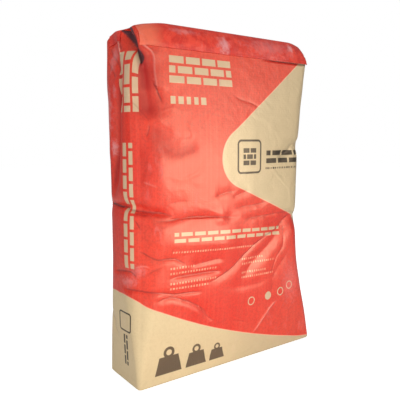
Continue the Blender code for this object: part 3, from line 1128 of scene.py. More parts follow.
class PleatMouth(Effect):
    """The painted shadow inside the gaping pleat: a bent wedge with a fold of the cloth in it, painted in
    shade. Its coordinates start at its wide end and run along it to its tip."""

    NAME = "Pleat Mouth"
    INPUTS = {"Length": 0.0580, "Wide": 0.0310, "Sag": 0.0010, "Soft": 0.0022}
    OUTPUTS = ("Shadow", "Fold")

    FRAYS = 220.0
    FRAY_LENGTH = 0.0016
    TIP_POWER = 0.40
    START_WIDTH = 0.55
    WIDENING = 0.65
    START = (-0.45, -0.20)
    FOLD_OFF = 0.25
    FOLD_LINE = (0.0005, 0.0013)
    FOLD_END = (0.40, 0.60)

    def build(self, wiring: Wiring, given: dict[str, Signal]) -> dict[str, Signal]:
        """Fills the group: the distance to the wedge's bent middle line against its half width.

        Args:
            wiring: The group's tree.
            given: The group's inputs by name.

        Returns:
            The group's outputs by name.
        """
        x, y = wiring.split(given["Place"])
        share = x / given["Length"]
        left = 1.0 - share
        off = share * left * 4.0 * given["Sag"] + y
        frayed = (wiring.noise(given["Place"], self.FRAYS) - 0.5) * self.FRAY_LENGTH
        taper = left.most(0.0) ** self.TIP_POWER * (share * self.WIDENING + self.START_WIDTH)
        half = given["Wide"] * 0.5 * taper
        dark = (half - abs(off) + frayed).step(0.0, given["Soft"]) * share.step(*self.START)
        fold = abs(off - half * self.FOLD_OFF).fall(*self.FOLD_LINE) * share.fall(*self.FOLD_END)
        return {"Shadow": dark, "Fold": fold * dark}


class PrintedRow(Effect):
    """A printed row of plain blocks of uneven length. Its coordinates start at its lower left corner."""

    NAME = "Printed Row"
    INPUTS = {"Length": 0.1, "Height": 0.01, "Pitch": 0.01, "Fill": 0.7, "Uneven": 0.3, "Soft": 0.0003}
    OUTPUTS = ("Mask",)

    def build(self, wiring: Wiring, given: dict[str, Signal]) -> dict[str, Signal]:
        """Fills the group: a repeated block, cut off at the row's ends.

        Args:
            wiring: The group's tree.
            given: The group's inputs by name.

        Returns:
            The group's outputs by name.
        """
        x, y = wiring.split(given["Place"])
        count = x / given["Pitch"]
        half = given["Fill"] * 0.5 * (1.0 - wiring.chance(count.floor()) * given["Uneven"])
        block = (half - abs(count.fract() - 0.5)) * given["Pitch"]
        edge = block.least(y.inside(given["Height"])).least(x.inside(given["Length"]))
        return {"Mask": edge.step(0.0, given["Soft"])}


class BrickCourses(Effect):
    """A small wall of plain bricks. Its coordinates start at its lower left corner."""

    NAME = "Brick Courses"
    INPUTS = {"Length": 0.1, "Height": 0.04, "Brick": 0.03, "Course": 0.014, "Joint": 0.003,
              "Soft": 0.0003}
    OUTPUTS = ("Mask",)

    def build(self, wiring: Wiring, given: dict[str, Signal]) -> dict[str, Signal]:
        """Fills the group: courses of bricks, each half a brick from the one below.

        Args:
            wiring: The group's tree.
            given: The group's inputs by name.

        Returns:
            The group's outputs by name.
        """
        x, y = wiring.split(given["Place"])
        course = y / given["Course"]
        count = x / given["Brick"] + (course.floor() % 2.0) * 0.5
        edge = x.inside(given["Length"]).least(y.inside(given["Height"]))
        for share, size in ((count, given["Brick"]), (course, given["Course"])):
            edge = edge.least(share.fract().inside(1.0) * size)
        return {"Mask": (edge - given["Joint"] * 0.5).step(0.0, given["Soft"])}


class PlainFrame(Effect):
    """A printed square frame with round corners. Its coordinates start at its middle."""

    NAME = "Plain Frame"
    INPUTS = {"Half": 0.023, "Round": 0.006, "Line": 0.0022, "Soft": 0.0003}
    OUTPUTS = ("Mask",)

    def build(self, wiring: Wiring, given: dict[str, Signal]) -> dict[str, Signal]:
        """Fills the group: the line round a square.

        Args:
            wiring: The group's tree.
            given: The group's inputs by name.

        Returns:
            The group's outputs by name.
        """
        core = given["Half"] - given["Round"]
        off_x, off_y = ((abs(part) - core).most(0.0) for part in wiring.split(given["Place"]))
        edge = given["Line"] * 0.5 - abs(wiring.distance(off_x, off_y) - given["Round"])
        return {"Mask": edge.step(0.0, given["Soft"])}


class PlainWeight(Effect):
    """A printed scale weight: a body with slanting sides under a ring. Its coordinates start at the
    middle of its foot, and it is 1 wide and high."""

    NAME = "Plain Weight"
    INPUTS = {"Soft": 0.01}
    OUTPUTS = ("Mask",)

    SIDE_SLANT = -0.24
    BODY_HEIGHT = 0.62
    RING_MIDDLE = 0.74
    RING_RADIUS = 0.15
    RING_LINE = 0.11

    def build(self, wiring: Wiring, given: dict[str, Signal]) -> dict[str, Signal]:
        """Fills the group: the body's slanting sides and flat ends, and the ring's line.

        Args:
            wiring: The group's tree.
            given: The group's inputs by name.

        Returns:
            The group's outputs by name.
        """
        x, y = wiring.split(given["Place"])
        body = (y * self.SIDE_SLANT + 0.5 - abs(x)).least(y.inside(self.BODY_HEIGHT))
        far = wiring.distance(x, y - self.RING_MIDDLE)
        ring = self.RING_LINE / 2 - abs(far - self.RING_RADIUS)
        return {"Mask": body.most(ring).step(0.0, given["Soft"])}


class ColourFields(Effect):
    """The two colours of the print: kraft below a long curve, and a kraft field with a round nose on
    the right. The outputs are the kraft mask and the thin pale line along its border."""

    NAME = "Colour Fields"
    INPUTS = {"Soft": 0.0003, "Line": 0.0009}
    OUTPUTS = ("Kraft", "Border")

    # A quarter of the way round the bag, the highest that the foot can reach, and its curve. The same
    # scratch script as for the creases worked out the curve's points from pixels of the photo, and their
    # heights were then moved a little
    QUARTER = (BagForm.width + BagForm.depth) / 2
    TALLEST = 0.16
    FOOT_CURVE = ((-QUARTER, 0.1335), (-0.1915, 0.1336), (-0.1766, 0.1300), (-0.1609, 0.1240),
                  (-0.1436, 0.1172), (-0.1312, 0.1112), (-0.1005, 0.0955), (-0.0831, 0.0870),
                  (-0.0477, 0.0709), (0.0, 0.0520), (0.0515, 0.0340), (0.1062, 0.0174),
                  (0.1476, 0.0075), (QUARTER, 0.0040))
    # What turns a height over the curve into the distance from it
    FOOT_LEAN = 0.93
    # The middle and the radius of the round nose, and its flanks' slopes in degrees
    NOSE = (0.013, 0.323)
    NOSE_RADIUS = 0.046
    UPPER_SLOPE = 36.1
    LOWER_SLOPE = -21.5

    def foot(self, wiring: Wiring, x: Signal, y: Signal) -> Signal:
        """The kraft foot, under a long curve.

        Args:
            wiring: The group's tree.
            x: The place along the face, from its middle.
            y: The place up the cloth.

        Returns:
            How far each place lies inside the foot.
        """
        curve = wiring.node("ShaderNodeFloatCurve")
        places = [(0.5 + u / (2 * self.QUARTER), h / self.TALLEST) for u, h in self.FOOT_CURVE]
        line = curve.mapping.curves[0]
        line.points[0].location = places[0]
        line.points[-1].location = places[-1]
        for place in places[1:-1]:
            line.points.new(*place)
        curve.mapping.update()
        wiring.join(x * (1 / (2 * self.QUARTER)) + 0.5, curve.inputs["Value"])
        return (Signal(wiring, curve.outputs[0]) * self.TALLEST - y) * self.FOOT_LEAN

    def nose(self, wiring: Wiring, x: Signal, y: Signal) -> Signal:
        """The kraft field on the right, two flanks that a round nose joins.

        Args:
            wiring: The group's tree.
            x: The place along the face, from its middle.
            y: The place up the cloth.

        Returns:
            How far each place lies inside the field.
        """
        from_x, from_y = x - self.NOSE[0], y - self.NOSE[1]
        forward, outward = [], []
        for slope, hand in ((self.UPPER_SLOPE, 1.0), (self.LOWER_SLOPE, -1.0)):
            run, rise = math.cos(math.radians(slope)), math.sin(math.radians(slope))
            forward.append(from_x * run + from_y * rise)
            outward.append(from_x * (-rise * hand) + from_y * (run * hand))
        behind = wiring.maths("LESS_THAN", forward[0].most(forward[1]), 0.0)
        flanks = outward[0].most(outward[1])
        return self.NOSE_RADIUS - flanks.most(wiring.distance(from_x, from_y) * behind)

    def build(self, wiring: Wiring, given: dict[str, Signal]) -> dict[str, Signal]:
        """Fills the group: the distance to each field's border, positive inside.

        Args:
            wiring: The group's tree.
            given: The group's inputs by name.

        Returns:
            The group's outputs by name.
        """
        place = wiring.split(given["Place"])
        inside = self.foot(wiring, *place).most(self.nose(wiring, *place))
        return {"Kraft": inside.step(0.0, given["Soft"]),
                "Border": (given["Line"] - abs(inside)).step(0.0, given["Soft"])}


# The print


class Face(Enum):
    """The faces of the bag that carry motifs."""

    WIDE = "front and back"
    NARROW = "left side"


@dataclass(frozen=True)
class Motif:
    """A plain printed motif.

    Attributes:
        effect: What it is.
        ink: Its ink.
        at: Where its own coordinates start, from the face's middle and up the cloth.
        sizes: Its sizes.
        face: The face that it is on.
        turn: How far it is turned, in degrees.
        scale: How much it is enlarged.
    """

    effect: Effect
    ink: Ink
    at: Station
    sizes: dict[str, float] = field(default_factory=dict)
    face: Face = Face.WIDE
    turn: float = 0.0
    scale: float = 1.0


BRICKS, ROW, FRAME, WEIGHT = BrickCourses(), PrintedRow(), PlainFrame(), PlainWeight()
RING = {"Half": 0.0064, "Round": 0.0064, "Line": 0.0020}
DISC = {"Half": 0.0036, "Round": 0.0036, "Line": 0.0072}
SMALL_BLOCKS = {"Height": 0.0034, "Pitch": 0.0046, "Fill": 0.78, "Uneven": 0.55}

# The small rows' left ends, heights up the cloth, lengths and turns
SMALL_ROWS = ((-0.118, 0.1700, 0.040, -1.0), (-0.118, 0.1625, 0.080, -1.0),
              (-0.118, 0.1480, 0.078, -1.5), (-0.118, 0.1405, 0.064, -1.5),
              (0.006, 0.1665, 0.050, -1.0), (0.006, 0.1590, 0.076, -1.0),
              (0.006, 0.1450, 0.056, -1.0), (0.006, 0.1375, 0.074, -1.0))

MOTIFS = (
    # The brick courses and rows of the red field
    Motif(BRICKS, Ink.PALE, (-0.1160, 0.4240),
          {"Length": 0.1080, "Height": 0.0405, "Brick": 0.0270, "Course": 0.0135, "Joint": 0.0036}),
    Motif(ROW, Ink.PALE, (-0.1155, 0.3980),
          {"Length": 0.0600, "Height": 0.0105, "Pitch": 0.0120, "Fill": 0.74, "Uneven": 0.25}),
    Motif(BRICKS, Ink.PALE, (-0.1145, 0.2070),
          {"Length": 0.2150, "Height": 0.0176, "Brick": 0.0215, "Course": 0.0088, "Joint": 0.0034},
          turn=-3.1),
    Motif(ROW, Ink.FAINT, (-0.1145, 0.1932),
          {"Length": 0.1500, "Height": 0.0030, "Pitch": 0.0042, "Fill": 0.80, "Uneven": 0.55}, turn=-3.1),
    *(Motif(ROW, Ink.FAINT, (left, low), {"Length": length, **SMALL_BLOCKS}, turn=turn)
      for left, low, length, turn in SMALL_ROWS),
    *(Motif(FRAME, Ink.PALE, at, RING) for at in ((0.0295, 0.0970), (0.0952, 0.1012), (0.1170, 0.1087))),
    Motif(FRAME, Ink.PALE, (0.0667, 0.0990), DISC),
    # The brick courses of the left side
    Motif(BRICKS, Ink.PALE, (0.0010, 0.4570),
          {"Length": 0.0720, "Height": 0.0460, "Brick": 0.0240, "Course": 0.0153, "Joint": 0.0036},
          Face.NARROW, -90.0),
    Motif(BRICKS, Ink.PALE, (0.0125, 0.3480),
          {"Length": 0.1770, "Height": 0.0210, "Brick": 0.0221, "Course": 0.0105, "Joint": 0.0036},
          Face.NARROW, -90.0),
    # The frame and the band of the front's kraft field
    Motif(FRAME, Ink.BLACK, (0.0190, 0.3250), {"Half": 0.0240, "Line": 0.0034}),
    Motif(BRICKS, Ink.BLACK, (0.0040, 0.3112),
          {"Length": 0.0300, "Height": 0.0276, "Brick": 0.0150, "Course": 0.0092, "Joint": 0.0020}),
    Motif(BRICKS, Ink.BLACK, (0.0540, 0.3120),
          {"Length": 0.0870, "Height": 0.0240, "Brick": 0.0290, "Course": 0.0120, "Joint": 0.0042}),
    Motif(ROW, Ink.BLACK, (0.0540, 0.3050),
          {"Length": 0.0860, "Height": 0.0032, "Pitch": 0.0046, "Fill": 0.80, "Uneven": 0.55}),
    # The frame and the band at the foot of the left side
    Motif(FRAME, Ink.BLACK, (0.0120, 0.0940), {"Half": 0.0135, "Round": 0.0035, "Line": 0.0026},
          Face.NARROW),
    Motif(BRICKS, Ink.BLACK, (0.0060, 0.0760),
          {"Length": 0.0480, "Height": 0.0130, "Brick": 0.0160, "Course": 0.0065, "Joint": 0.0022},
          Face.NARROW, -90.0),
    # The scale weights at the front's foot
    *(Motif(WEIGHT, Ink.UMBER, (middle, 0.0150), scale=size)
      for middle, size in ((-0.1160, 0.0440), (-0.0700, 0.0360), (-0.0330, 0.0280))),
)


# Finishes


@dataclass(frozen=True, kw_only=True)
class Film:
    """A finish of woven tapes under a crumpled and dusty film. Each spot of dust is its place, its half
    width, its half height and its strength.

    Attributes:
        name: The material's name.
        roughness: How rough the clean film is.
        dust_roughness: How much rougher the dust makes it.
        weave_depth: The depth of the weave's relief, in metres.
        crumple_depth: The depth of the crumples' relief, in metres.
        dust: How much of the film the dust covers.
        dust_strength: How strongly the dust colours it.
        spots: The dusty spots.
    """

    name: str
    roughness: float = 0.32
    dust_roughness: float = 0.6
    weave_depth: float = 0.00008
    crumple_depth: float = 0.0020
    dust: float = 0.45
    dust_strength: float = 0.28
    spots: tuple[tuple[float, float, float, float, float], ...] = ()

    WEAVE_SHOWS = 0.03


class Coat:
    """A film's material while it is built up: what it reads, and its colour and relief so far."""

    def __init__(self, film: Film, noise: tuple[float, ...], patched: Station,
                 tones: tuple[Ink | Colour, Ink | Colour]) -> None:
        """Starts the material, with its weave, crumples, dust and two tones.

        Args:
            film: The film.
            noise: The noise of the second tone's patches.
            patched: Where in the noise a patch starts and is full.
            tones: The two tones.
        """
        self.film = film
        self.material = bpy.data.materials.new(film.name)
        self.material.use_nodes = True
        self.shader = self.material.node_tree.nodes["Principled BSDF"]
        self.wiring = wiring = Wiring(self.material.node_tree)
        self.place = wiring.read("ShaderNodeTexCoord", {}, "Object")
        self.cloth = wiring.read("ShaderNodeUVMap", {}, uv_map="cloth")
        self.weave = WovenTapes().place(wiring, Place=self.cloth)
        self.patchy = wiring.noise(self.place, *noise)
        self.colour = wiring.mix(self.patchy.step(*patched), *tones)
        dust = CementDust().place(wiring, Place=self.place, Amount=film.dust)
        self.soil = (dust["Dust"] + dust["Scuff"]).least(1.0) * film.dust_strength
        self.rough = self.soil * film.dust_roughness + film.roughness
        crumple = FilmCrumple().place(wiring, Place=self.place)
        self.height = self.weave["Height"] * film.weave_depth + crumple["Height"] * film.crumple_depth

    def lay(self, share: Value, colour: Signal | Ink) -> None:
        """Lays a share of another colour over the colour so far."""
        self.colour = self.wiring.mix(share, self.colour, colour)

    def lay_weave(self) -> None:
        """Lays the tapes' uneven shade faintly over the colour."""
        self.lay(self.weave["Shade"] * self.film.WEAVE_SHOWS, Ink.PALE)

    def lay_spots(self, place: Signal) -> None:
        """Lays the film's dusty spots.

        Args:
            place: The coordinates that their places are in.
        """
        for across, up, wide, high, strength in self.film.spots:
            spot = DustySpot().place(self.wiring, Place=self.wiring.placed(place, (across, up)), Wide=wide,
                                     High=high)
            self.lay(spot["Mask"] * strength, Ink.DUST)

    def finish(self) -> bpy.types.Material:
        """Joins the colour, the roughness and the relief to the shader, and gives the material."""
        relief = self.wiring.read("ShaderNodeBump", {"Strength": 1.0, "Distance": 1.0, "Height": self.height})
        for value, name in ((self.colour, "Base Color"), (self.rough, "Roughness"), (relief, "Normal")):
            self.wiring.join(value, self.shader.inputs[name])
        return self.material


@dataclass(frozen=True, kw_only=True)
class PrintedFilm(Film):
    """The sack's finish: woven tapes under a printed, creased and dusty film, with painted shade and
    highlights in its creases and painted shadow in the pleat's mouth.

    Attributes:
        groove_depth: The depth of the thin lines' grooves, in metres.
        sheen: The colour of the film's sheen.
    """

    name: str = "printed_film"
    roughness: float = 0.33
    dust_roughness: float = 0.9
    weave_depth: float = 0.00004
    crumple_depth: float = 0.0014
    groove_depth: float = 0.0012
    dust: float = 0.30
    dust_strength: float = 0.16
    sheen: Colour = (1.0, 0.80, 0.60)
    # The long spot on the side at -0.2300 is laid strongly enough to lighten the shaded strip behind the
    # gusset: partly dust, partly painted light
    spots: tuple[tuple[float, float, float, float, float], ...] = (
        (-0.1560, 0.4475, 0.0150, 0.0080, 0.26), (-0.2140, 0.4170, 0.0050, 0.0120, 0.25),
        (-0.2190, 0.3390, 0.0060, 0.0140, 0.50), (-0.2300, 0.3900, 0.0130, 0.0460, 0.34),
        (-0.2230, 0.4520, 0.0100, 0.0160, 0.30), (-0.1700, 0.1700, 0.0240, 0.0110, 0.20),
        (-0.1870, 0.1540, 0.0220, 0.0100, 0.26), (-0.2330, 0.1700, 0.0060, 0.0400, 0.20),
        (0.1200, 0.1150, 0.0300, 0.0500, 0.14))

    # The noises, each given as in an effect, and where the steps in them start and end
    PATCHES = (7.0, 3.0)
    MOTTLE = (300.0, 4.0, 0.65, 0.3)
    RED_PATCHES = (0.35, 0.70)
    RED_MOTTLE = (0.40, 0.68)
    KRAFT_PATCHES = (0.30, 0.72)
    KRAFT_MOTTLE = (0.44, 0.72)
    # Where along the front the kraft's painted shade starts, and where it is full
    KRAFT_SHADE_SPAN = (-0.040, 0.060)
    # The share of each colour that is laid. The kraft's darkening, the crease lines' shade and the zones'
    # darkening are painted shade, and the ridges' pale is wear with a painted highlight
    RED_MOTTLED = 0.34
    KRAFT_MOTTLED = 0.28
    KRAFT_SHADED = 0.46
    BORDER = 0.45
    FAINT = 0.75
    WORN = 0.6
    SHADED = 0.85
    DARKENED = 0.92
    PRINT_DARKENED = 0.22
    # How much rougher the dark zones and the patches are
    DARK_ROUGHNESS = 0.35
    PATCHY_ROUGHNESS = 0.08
    # Where the pleat's mouth, a painted shadow, starts on the cloth, and its turn in degrees
    MOUTH = (-0.2010, 0.4810)
    MOUTH_TURN = -29.5

    def faces(self, wiring: Wiring, cloth: Signal) -> dict[Face, Signal]:
        """Each face's own coordinates, from its middle and up the cloth.

        Args:
            wiring: The material's tree.
            cloth: The cloth's coordinates.

        Returns:
            The coordinates of the wide faces, which mirror each other, and of the left side.
        """
        u, up = wiring.split(cloth)
        quarter = ColourFields.QUARTER
        mirrored = wiring.maths("PINGPONG", u + quarter, 2 * quarter)
        wrapped = wiring.maths("WRAP", u, 2 * quarter, 0.0)
        # The right side's coordinates start a metre away, so that it has no motif
        away = wiring.maths("GREATER_THAN", u, 0.0)
        return {Face.WIDE: wiring.gather(mirrored - quarter, up),
                Face.NARROW: wiring.gather(wrapped - quarter + away, up)}

    def motifs(self, wiring: Wiring, faces: dict[Face, Signal]) -> dict[Ink, Signal]:
        """The mask of the motifs in each ink.

        Args:
            wiring: The material's tree.
            faces: Each face's own coordinates.

        Returns:
            The mask of each ink.
        """
        masks: dict[Ink, Signal] = {}
        for motif in MOTIFS:
            place = wiring.placed(faces[motif.face], motif.at, motif.turn, motif.scale)
            mask = motif.effect.place(wiring, Place=place, **motif.sizes)["Mask"]
            masks[motif.ink] = mask.most(masks[motif.ink]) if motif.ink in masks else mask
        return masks

    def build(self) -> bpy.types.Material:
        """The material."""
        coat = Coat(self, self.PATCHES, self.RED_PATCHES, (Ink.RED, Ink.CORAL))
        wiring = coat.wiring
        faces = self.faces(wiring, coat.cloth)
        inks = self.motifs(wiring, faces)
        mottle = wiring.noise(coat.place, *self.MOTTLE)
        coat.lay(mottle.step(*self.RED_MOTTLE) * self.RED_MOTTLED, Ink.DEEP)
        coat.lay_weave()

        kraft = wiring.mix(coat.patchy.step(*self.KRAFT_PATCHES), Ink.KRAFT, Ink.DULL_KRAFT)
        kraft = wiring.mix(mottle.step(*self.KRAFT_MOTTLE) * self.KRAFT_MOTTLED, kraft, Ink.DARK_KRAFT)
        # Painted shade: the kraft darker towards the right
        shaded_right = wiring.split(faces[Face.WIDE])[0].step(*self.KRAFT_SHADE_SPAN) * self.KRAFT_SHADED
        kraft = wiring.mix(shaded_right, kraft, Ink.FADED_KRAFT)
        fields = ColourFields().place(wiring, Place=faces[Face.WIDE])
        on_kraft = fields["Kraft"]
        on_red = 1.0 - on_kraft
        printed = inks[Ink.PALE] * on_red
        coat.lay(on_kraft, kraft)
        coat.lay(fields["Border"] * self.BORDER, Ink.PALE)
        coat.lay(inks[Ink.FAINT] * on_red * self.FAINT, Ink.FAINT)
        coat.lay(printed, Ink.PRINT)
        coat.lay(inks[Ink.BLACK] * on_kraft, Ink.BLACK)
        coat.lay(inks[Ink.UMBER] * on_kraft, Ink.UMBER)
        coat.lay(coat.soil, Ink.DUST)

        line, worn_lit, shade, dark = (
            wiring.read("ShaderNodeAttribute", {}, "Fac", attribute_name=f"crease_{name}")
            for name in ("line", "worn_lit", "shade", "dark"))
        lines = CreaseLines().place(wiring, Line=line, Worn=worn_lit, Shade=shade)
        # Wear with painted highlights along the ridges, then painted shade along the creases
        coat.lay(lines["Worn"] * self.WORN, Ink.WORN)
        coat.lay(lines["Shade"] * self.SHADED, Ink.SHADOW)
        coat.lay_spots(coat.cloth)
        # Painted shade over the crushed and shaded zones, weaker on the pale print
        coat.lay(dark * (self.DARKENED - printed * (self.DARKENED - self.PRINT_DARKENED)), Ink.DEEP)
        # The pleat's mouth: a painted shadow, with a fold of the cloth painted in shade
        mouth = PleatMouth().place(wiring, Place=wiring.placed(coat.cloth, self.MOUTH, self.MOUTH_TURN))
        coat.lay(mouth["Shadow"], Ink.HOLLOW)
        coat.lay(mouth["Fold"], Ink.FOLD)

        coat.rough += dark * self.DARK_ROUGHNESS + coat.patchy * self.PATCHY_ROUGHNESS
        coat.height += lines["Groove"] * self.groove_depth
        wiring.join(1.0, coat.shader.inputs["Specular IOR Level"])
        wiring.join(self.sheen, coat.shader.inputs["Specular Tint"])
        return coat.finish()


@dataclass(frozen=True, kw_only=True)
class PlainFilm(Film):
    """A cover patch's or sleeve's finish: woven tapes under a film of one colour in two tones.

    Attributes:
        base: The film's colour.
        other: The colour of its patches.
        bright_end: True for a sheet whose front edge is bright at its left end.
    """

    base: Ink | Colour
    other: Ink | Colour
    bright_end: bool = False

    # The noise, given as in an effect, and where the step in it starts and ends
    PATCHES = (65.0, 6.0, 0.68, 0.3)
    PATCHED = (0.38, 0.62)
    # Where the bright end lies from left to right and from front to back
    BRIGHT_LEFT = (-0.132, -0.106)
    BRIGHT_FRONT = (-0.038, -0.030)
    BRIGHT_RAGGED = 0.030
    BRIGHTENED = 0.55

    def build(self) -> bpy.types.Material:
        """The material."""
        coat = Coat(self, self.PATCHES, self.PATCHED, (self.base, self.other))
        coat.lay_weave()
        if self.bright_end:
            x, y = coat.wiring.split(coat.place)
            left = (coat.patchy * self.BRIGHT_RAGGED + x).fall(*self.BRIGHT_LEFT) * self.BRIGHTENED
            coat.lay(left * y.fall(*self.BRIGHT_FRONT), Ink.BRIGHT)
        coat.lay(coat.soil, Ink.DUST)
        coat.lay_spots(coat.place)
        return coat.finish()


TOP_FILM = PlainFilm(name="top_patch_film", base=(0.64, 0.024, 0.014), other=(0.82, 0.060, 0.032),
                     bright_end=True,
                     spots=((-0.0230, -0.0470, 0.0140, 0.0060, 0.60), (0.1150, -0.0430, 0.0070, 0.0040, 0.55),
                            (0.0650, -0.0450, 0.0600, 0.0080, 0.22),
                            (-0.0900, -0.0420, 0.0300, 0.0030, 0.30)))
BOTTOM_FILM = PlainFilm(name="bottom_patch_film", base=Ink.KRAFT, other=(0.66, 0.50, 0.28))
SLEEVE_FILM = PlainFilm(name="sleeve_cloth", base=(0.62, 0.026, 0.020), other=(0.74, 0.060, 0.040),
                        dust_strength=0.20)


# Pieces


@dataclass
class Sack:
    """The woven sack, filled, settled and creased."""

    form: BagForm
    lattice: Lattice
    settling: Settling
    wanted: tuple[tuple[float, ...], ...]
    crease_share: float = 0.68
    roof_fade: float = 12.0
    mesh: bpy.types.Mesh = field(init=False)
    flat: np.ndarray = field(init=False)
    offset: np.ndarray = field(init=False)

    def __post_init__(self) -> None:
        """Builds the shaped mesh."""
        coarse = self.lattice.box(self.wanted)
        coarse.verts.ensure_lookup_table()
        flat = np.array([vert.co for vert in coarse.verts])
        filled = self.form.fill(flat, FOLDS)
        moved = np.zeros_like(filled)
        data = bpy.data.meshes.new("settling_sack")
        coarse.to_mesh(data)
        move_points(data, filled)
        moved = self.settling.run(data, self.settling.hold(self.form, flat, FOLDS + CREASES))
        bpy.data.meshes.remove(data)
        layer = coarse.verts.layers.float_vector.new("moved")
        for vert, move in zip(coarse.verts, moved):
            vert[layer] = Vector(move)
        bmesh.ops.subdivide_edges(coarse, edges=coarse.edges[:], cuts=1, use_grid_fill=True)
        self.flat = np.array([vert.co for vert in coarse.verts])
        moved = np.array([vert[layer] for vert in coarse.verts])
        self.mesh = bpy.data.meshes.new("sack_cloth")
        coarse.to_mesh(self.mesh)
        coarse.free()
        base = self.form.fill(self.flat, FOLDS)
        middle = (base[:, :2].min(axis=0) + base[:, :2].max(axis=0)) / 2
        self.offset = np.array((-middle[0], -middle[1], 0.0))
        self.shape(base + self.offset, moved)

    def shape(self, places: np.ndarray, moved: np.ndarray) -> None:
        """Moves the cloth as it settled, then creases it.

        Args:
            places: Where the filled bag's points lie.
            moved: How far the settling moved them.
        """
        move_points(self.mesh, places + moved)
        cloth = self.form.cloth(self.flat)
        normals = normals_of(self.mesh)
        creases = CreaseMap(cloth)
        for crease in CREASES:
            creases.add(crease)
        on_wall = (self.flat[:, 2] > TOLERANCE) & (self.flat[:, 2] < self.form.height - TOLERANCE)
        on_roof = smooth(1 - (1 - self.form.reach(self.flat)) * self.roof_fade)
        pull = self.crease_share * creases.pull * np.where(on_wall, 1.0, on_roof)
        move_points(self.mesh, places + moved - normals * pull[:, None])
        for name in ("line", "worn_lit", "shade", "dark"):
            keep_attribute(self.mesh, "crease_" + name, getattr(creases, name))
        self.lay_print()

    def lay_print(self) -> None:
        """Writes the cloth's own coordinates as a UV map, in metres, with its seam up the back."""
        mesh = self.mesh
        cloth = self.form.cloth(self.flat)
        corner_points = np.empty(len(mesh.loops), dtype=np.int32)
        mesh.loops.foreach_get("vertex_index", corner_points)
        place = cloth[corner_points]
        counts = np.empty(len(mesh.polygons), dtype=np.int32)
        mesh.polygons.foreach_get("loop_total", counts)
        face = np.repeat(np.arange(len(counts)), counts)
        middle_x = np.bincount(face, self.flat[corner_points, 0]) / counts
        hand = np.where(middle_x[face] < 0, -1.0, 1.0)
        far_round = np.abs(place[:, 0]) > self.form.width / 2 + self.form.depth
        place[:, 0] = np.where(far_round, hand * np.abs(place[:, 0]), place[:, 0])
        layer = mesh.uv_layers.new(name="cloth")
        layer.data.foreach_set("uv", place.astype(np.float32).ravel())

    def finish(self, film: PrintedFilm) -> bpy.types.Object:
        """Makes the sack an object that stands for its solid.

        Args:
            film: The sack's finish.

        Returns:
            The object.
        """
        self.mesh.shade_smooth()
        self.mesh.materials.append(film.build())
        sack = bpy.data.objects.new("woven_sack", self.mesh)
        bpy.context.scene.collection.objects.link(sack)
        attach(sack, "root")
        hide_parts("sack")
        return sack


@dataclass
class Sheet:
    """A thin sheet that lies on the sack and follows it."""

    name: str
    node: str
    slot: str
    sack: Sack
    gap: float = 0.0004
    thickness: float = 0.0007
    sharp_from: float = math.radians(55)

    def region(self) -> tuple[Point, Point]:
        """The low and the high corner of what the sheet covers of the plain box."""
        raise NotImplementedError

    def lift(self, flat: np.ndarray) -> np.ndarray:
        """How far the sheet stands off the sack beyond its gap, at each place."""
        return np.zeros(len(flat))

    def build(self) -> bpy.types.Mesh:
        """The sheet's closed thin mesh, on the sack's own rows and columns."""
        flat = self.sack.flat
        normals = normals_of(self.sack.mesh)
        low, high = (np.array(corner) for corner in self.region())
        covered = ((flat >= low - TOLERANCE) & (flat <= high + TOLERANCE)).all(axis=1)
        off = self.gap + self.lift(flat)
        mesh = bmesh.new()
        mesh.from_mesh(self.sack.mesh)
        mesh.verts.ensure_lookup_table()
        outward = mesh.verts.layers.float_vector.new("outward")
        for vert, normal, distance in zip(mesh.verts, normals, off):
            if covered[vert.index]:
                vert[outward] = Vector(normal)
                vert.co += Vector(normal) * float(distance)
        spare = [face for face in mesh.faces if not all(covered[v.index] for v in face.verts)]
        bmesh.ops.delete(mesh, geom=spare, context="FACES")
        raised = bmesh.ops.extrude_face_region(mesh, geom=mesh.faces[:])
        for vert in [v for v in raised["geom"] if isinstance(v, bmesh.types.BMVert)]:
            vert.co += vert[outward] * self.thickness
        bmesh.ops.recalc_face_normals(mesh, faces=mesh.faces)
        data = bpy.data.meshes.new(self.name)
        mesh.to_mesh(data)
        mesh.free()
        return data

    def finish(self, film: PlainFilm) -> bpy.types.Object:
        """Makes the sheet an object that stands for its solid.

        Args:
            film: The sheet's finish.

        Returns:
            The object.
        """
        data = self.build()
        data.materials.clear()
        data.materials.append(film.build())
        data.shade_smooth()
        data.set_sharp_from_angle(angle=self.sharp_from)
        sheet = bpy.data.objects.new(self.name, data)
        bpy.context.scene.collection.objects.link(sheet)
        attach(sheet, "root")
        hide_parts(self.node)
        return sheet


@dataclass
class TopPatch(Sheet):
    """The printed cover patch over the top block, which laps on the walls and lifts at its right end."""

    lap: float = 0.006
    margin: float = 0.004
    loose: float = 0.0002
    end_lift: float = 0.0016
    end_start: float = 0.085
    end_length: float = 0.05

    def region(self) -> tuple[Point, Point]:
        """The top of the box and a lap of its walls, less a margin at each end."""
        form = self.sack.form
        end = form.width / 2 - self.margin
        return (-end, -form.depth / 2, form.height - self.lap), (end, form.depth / 2, form.height)

    def lift(self, flat: np.ndarray) -> np.ndarray:
        """How far the patch's edge stands off the sack beyond its gap.

        Args:
            flat: Places on the plain box, one row each.

        Returns:
            The lift at each place.
        """
        form = self.sack.form
        low = smooth((form.height - flat[:, 2]) / self.lap)
        front = np.where(flat[:, 1] < 0, 1.0, 0.0)
        right = smooth((flat[:, 0] - self.end_start) / self.end_length)
        return low * (self.loose + front * right * self.end_lift)


@dataclass
class BottomPatch(Sheet):
    """The kraft cover patch under the bottom block, which the bag stands on."""

    margin: float = 0.015

    def region(self) -> tuple[Point, Point]:
        """The floor of the box, less a margin all round."""
        end = self.sack.form.width / 2 - self.margin
        side = self.sack.form.depth / 2 - self.margin
        return (-end, -side, 0.0), (end, side, 0.0)


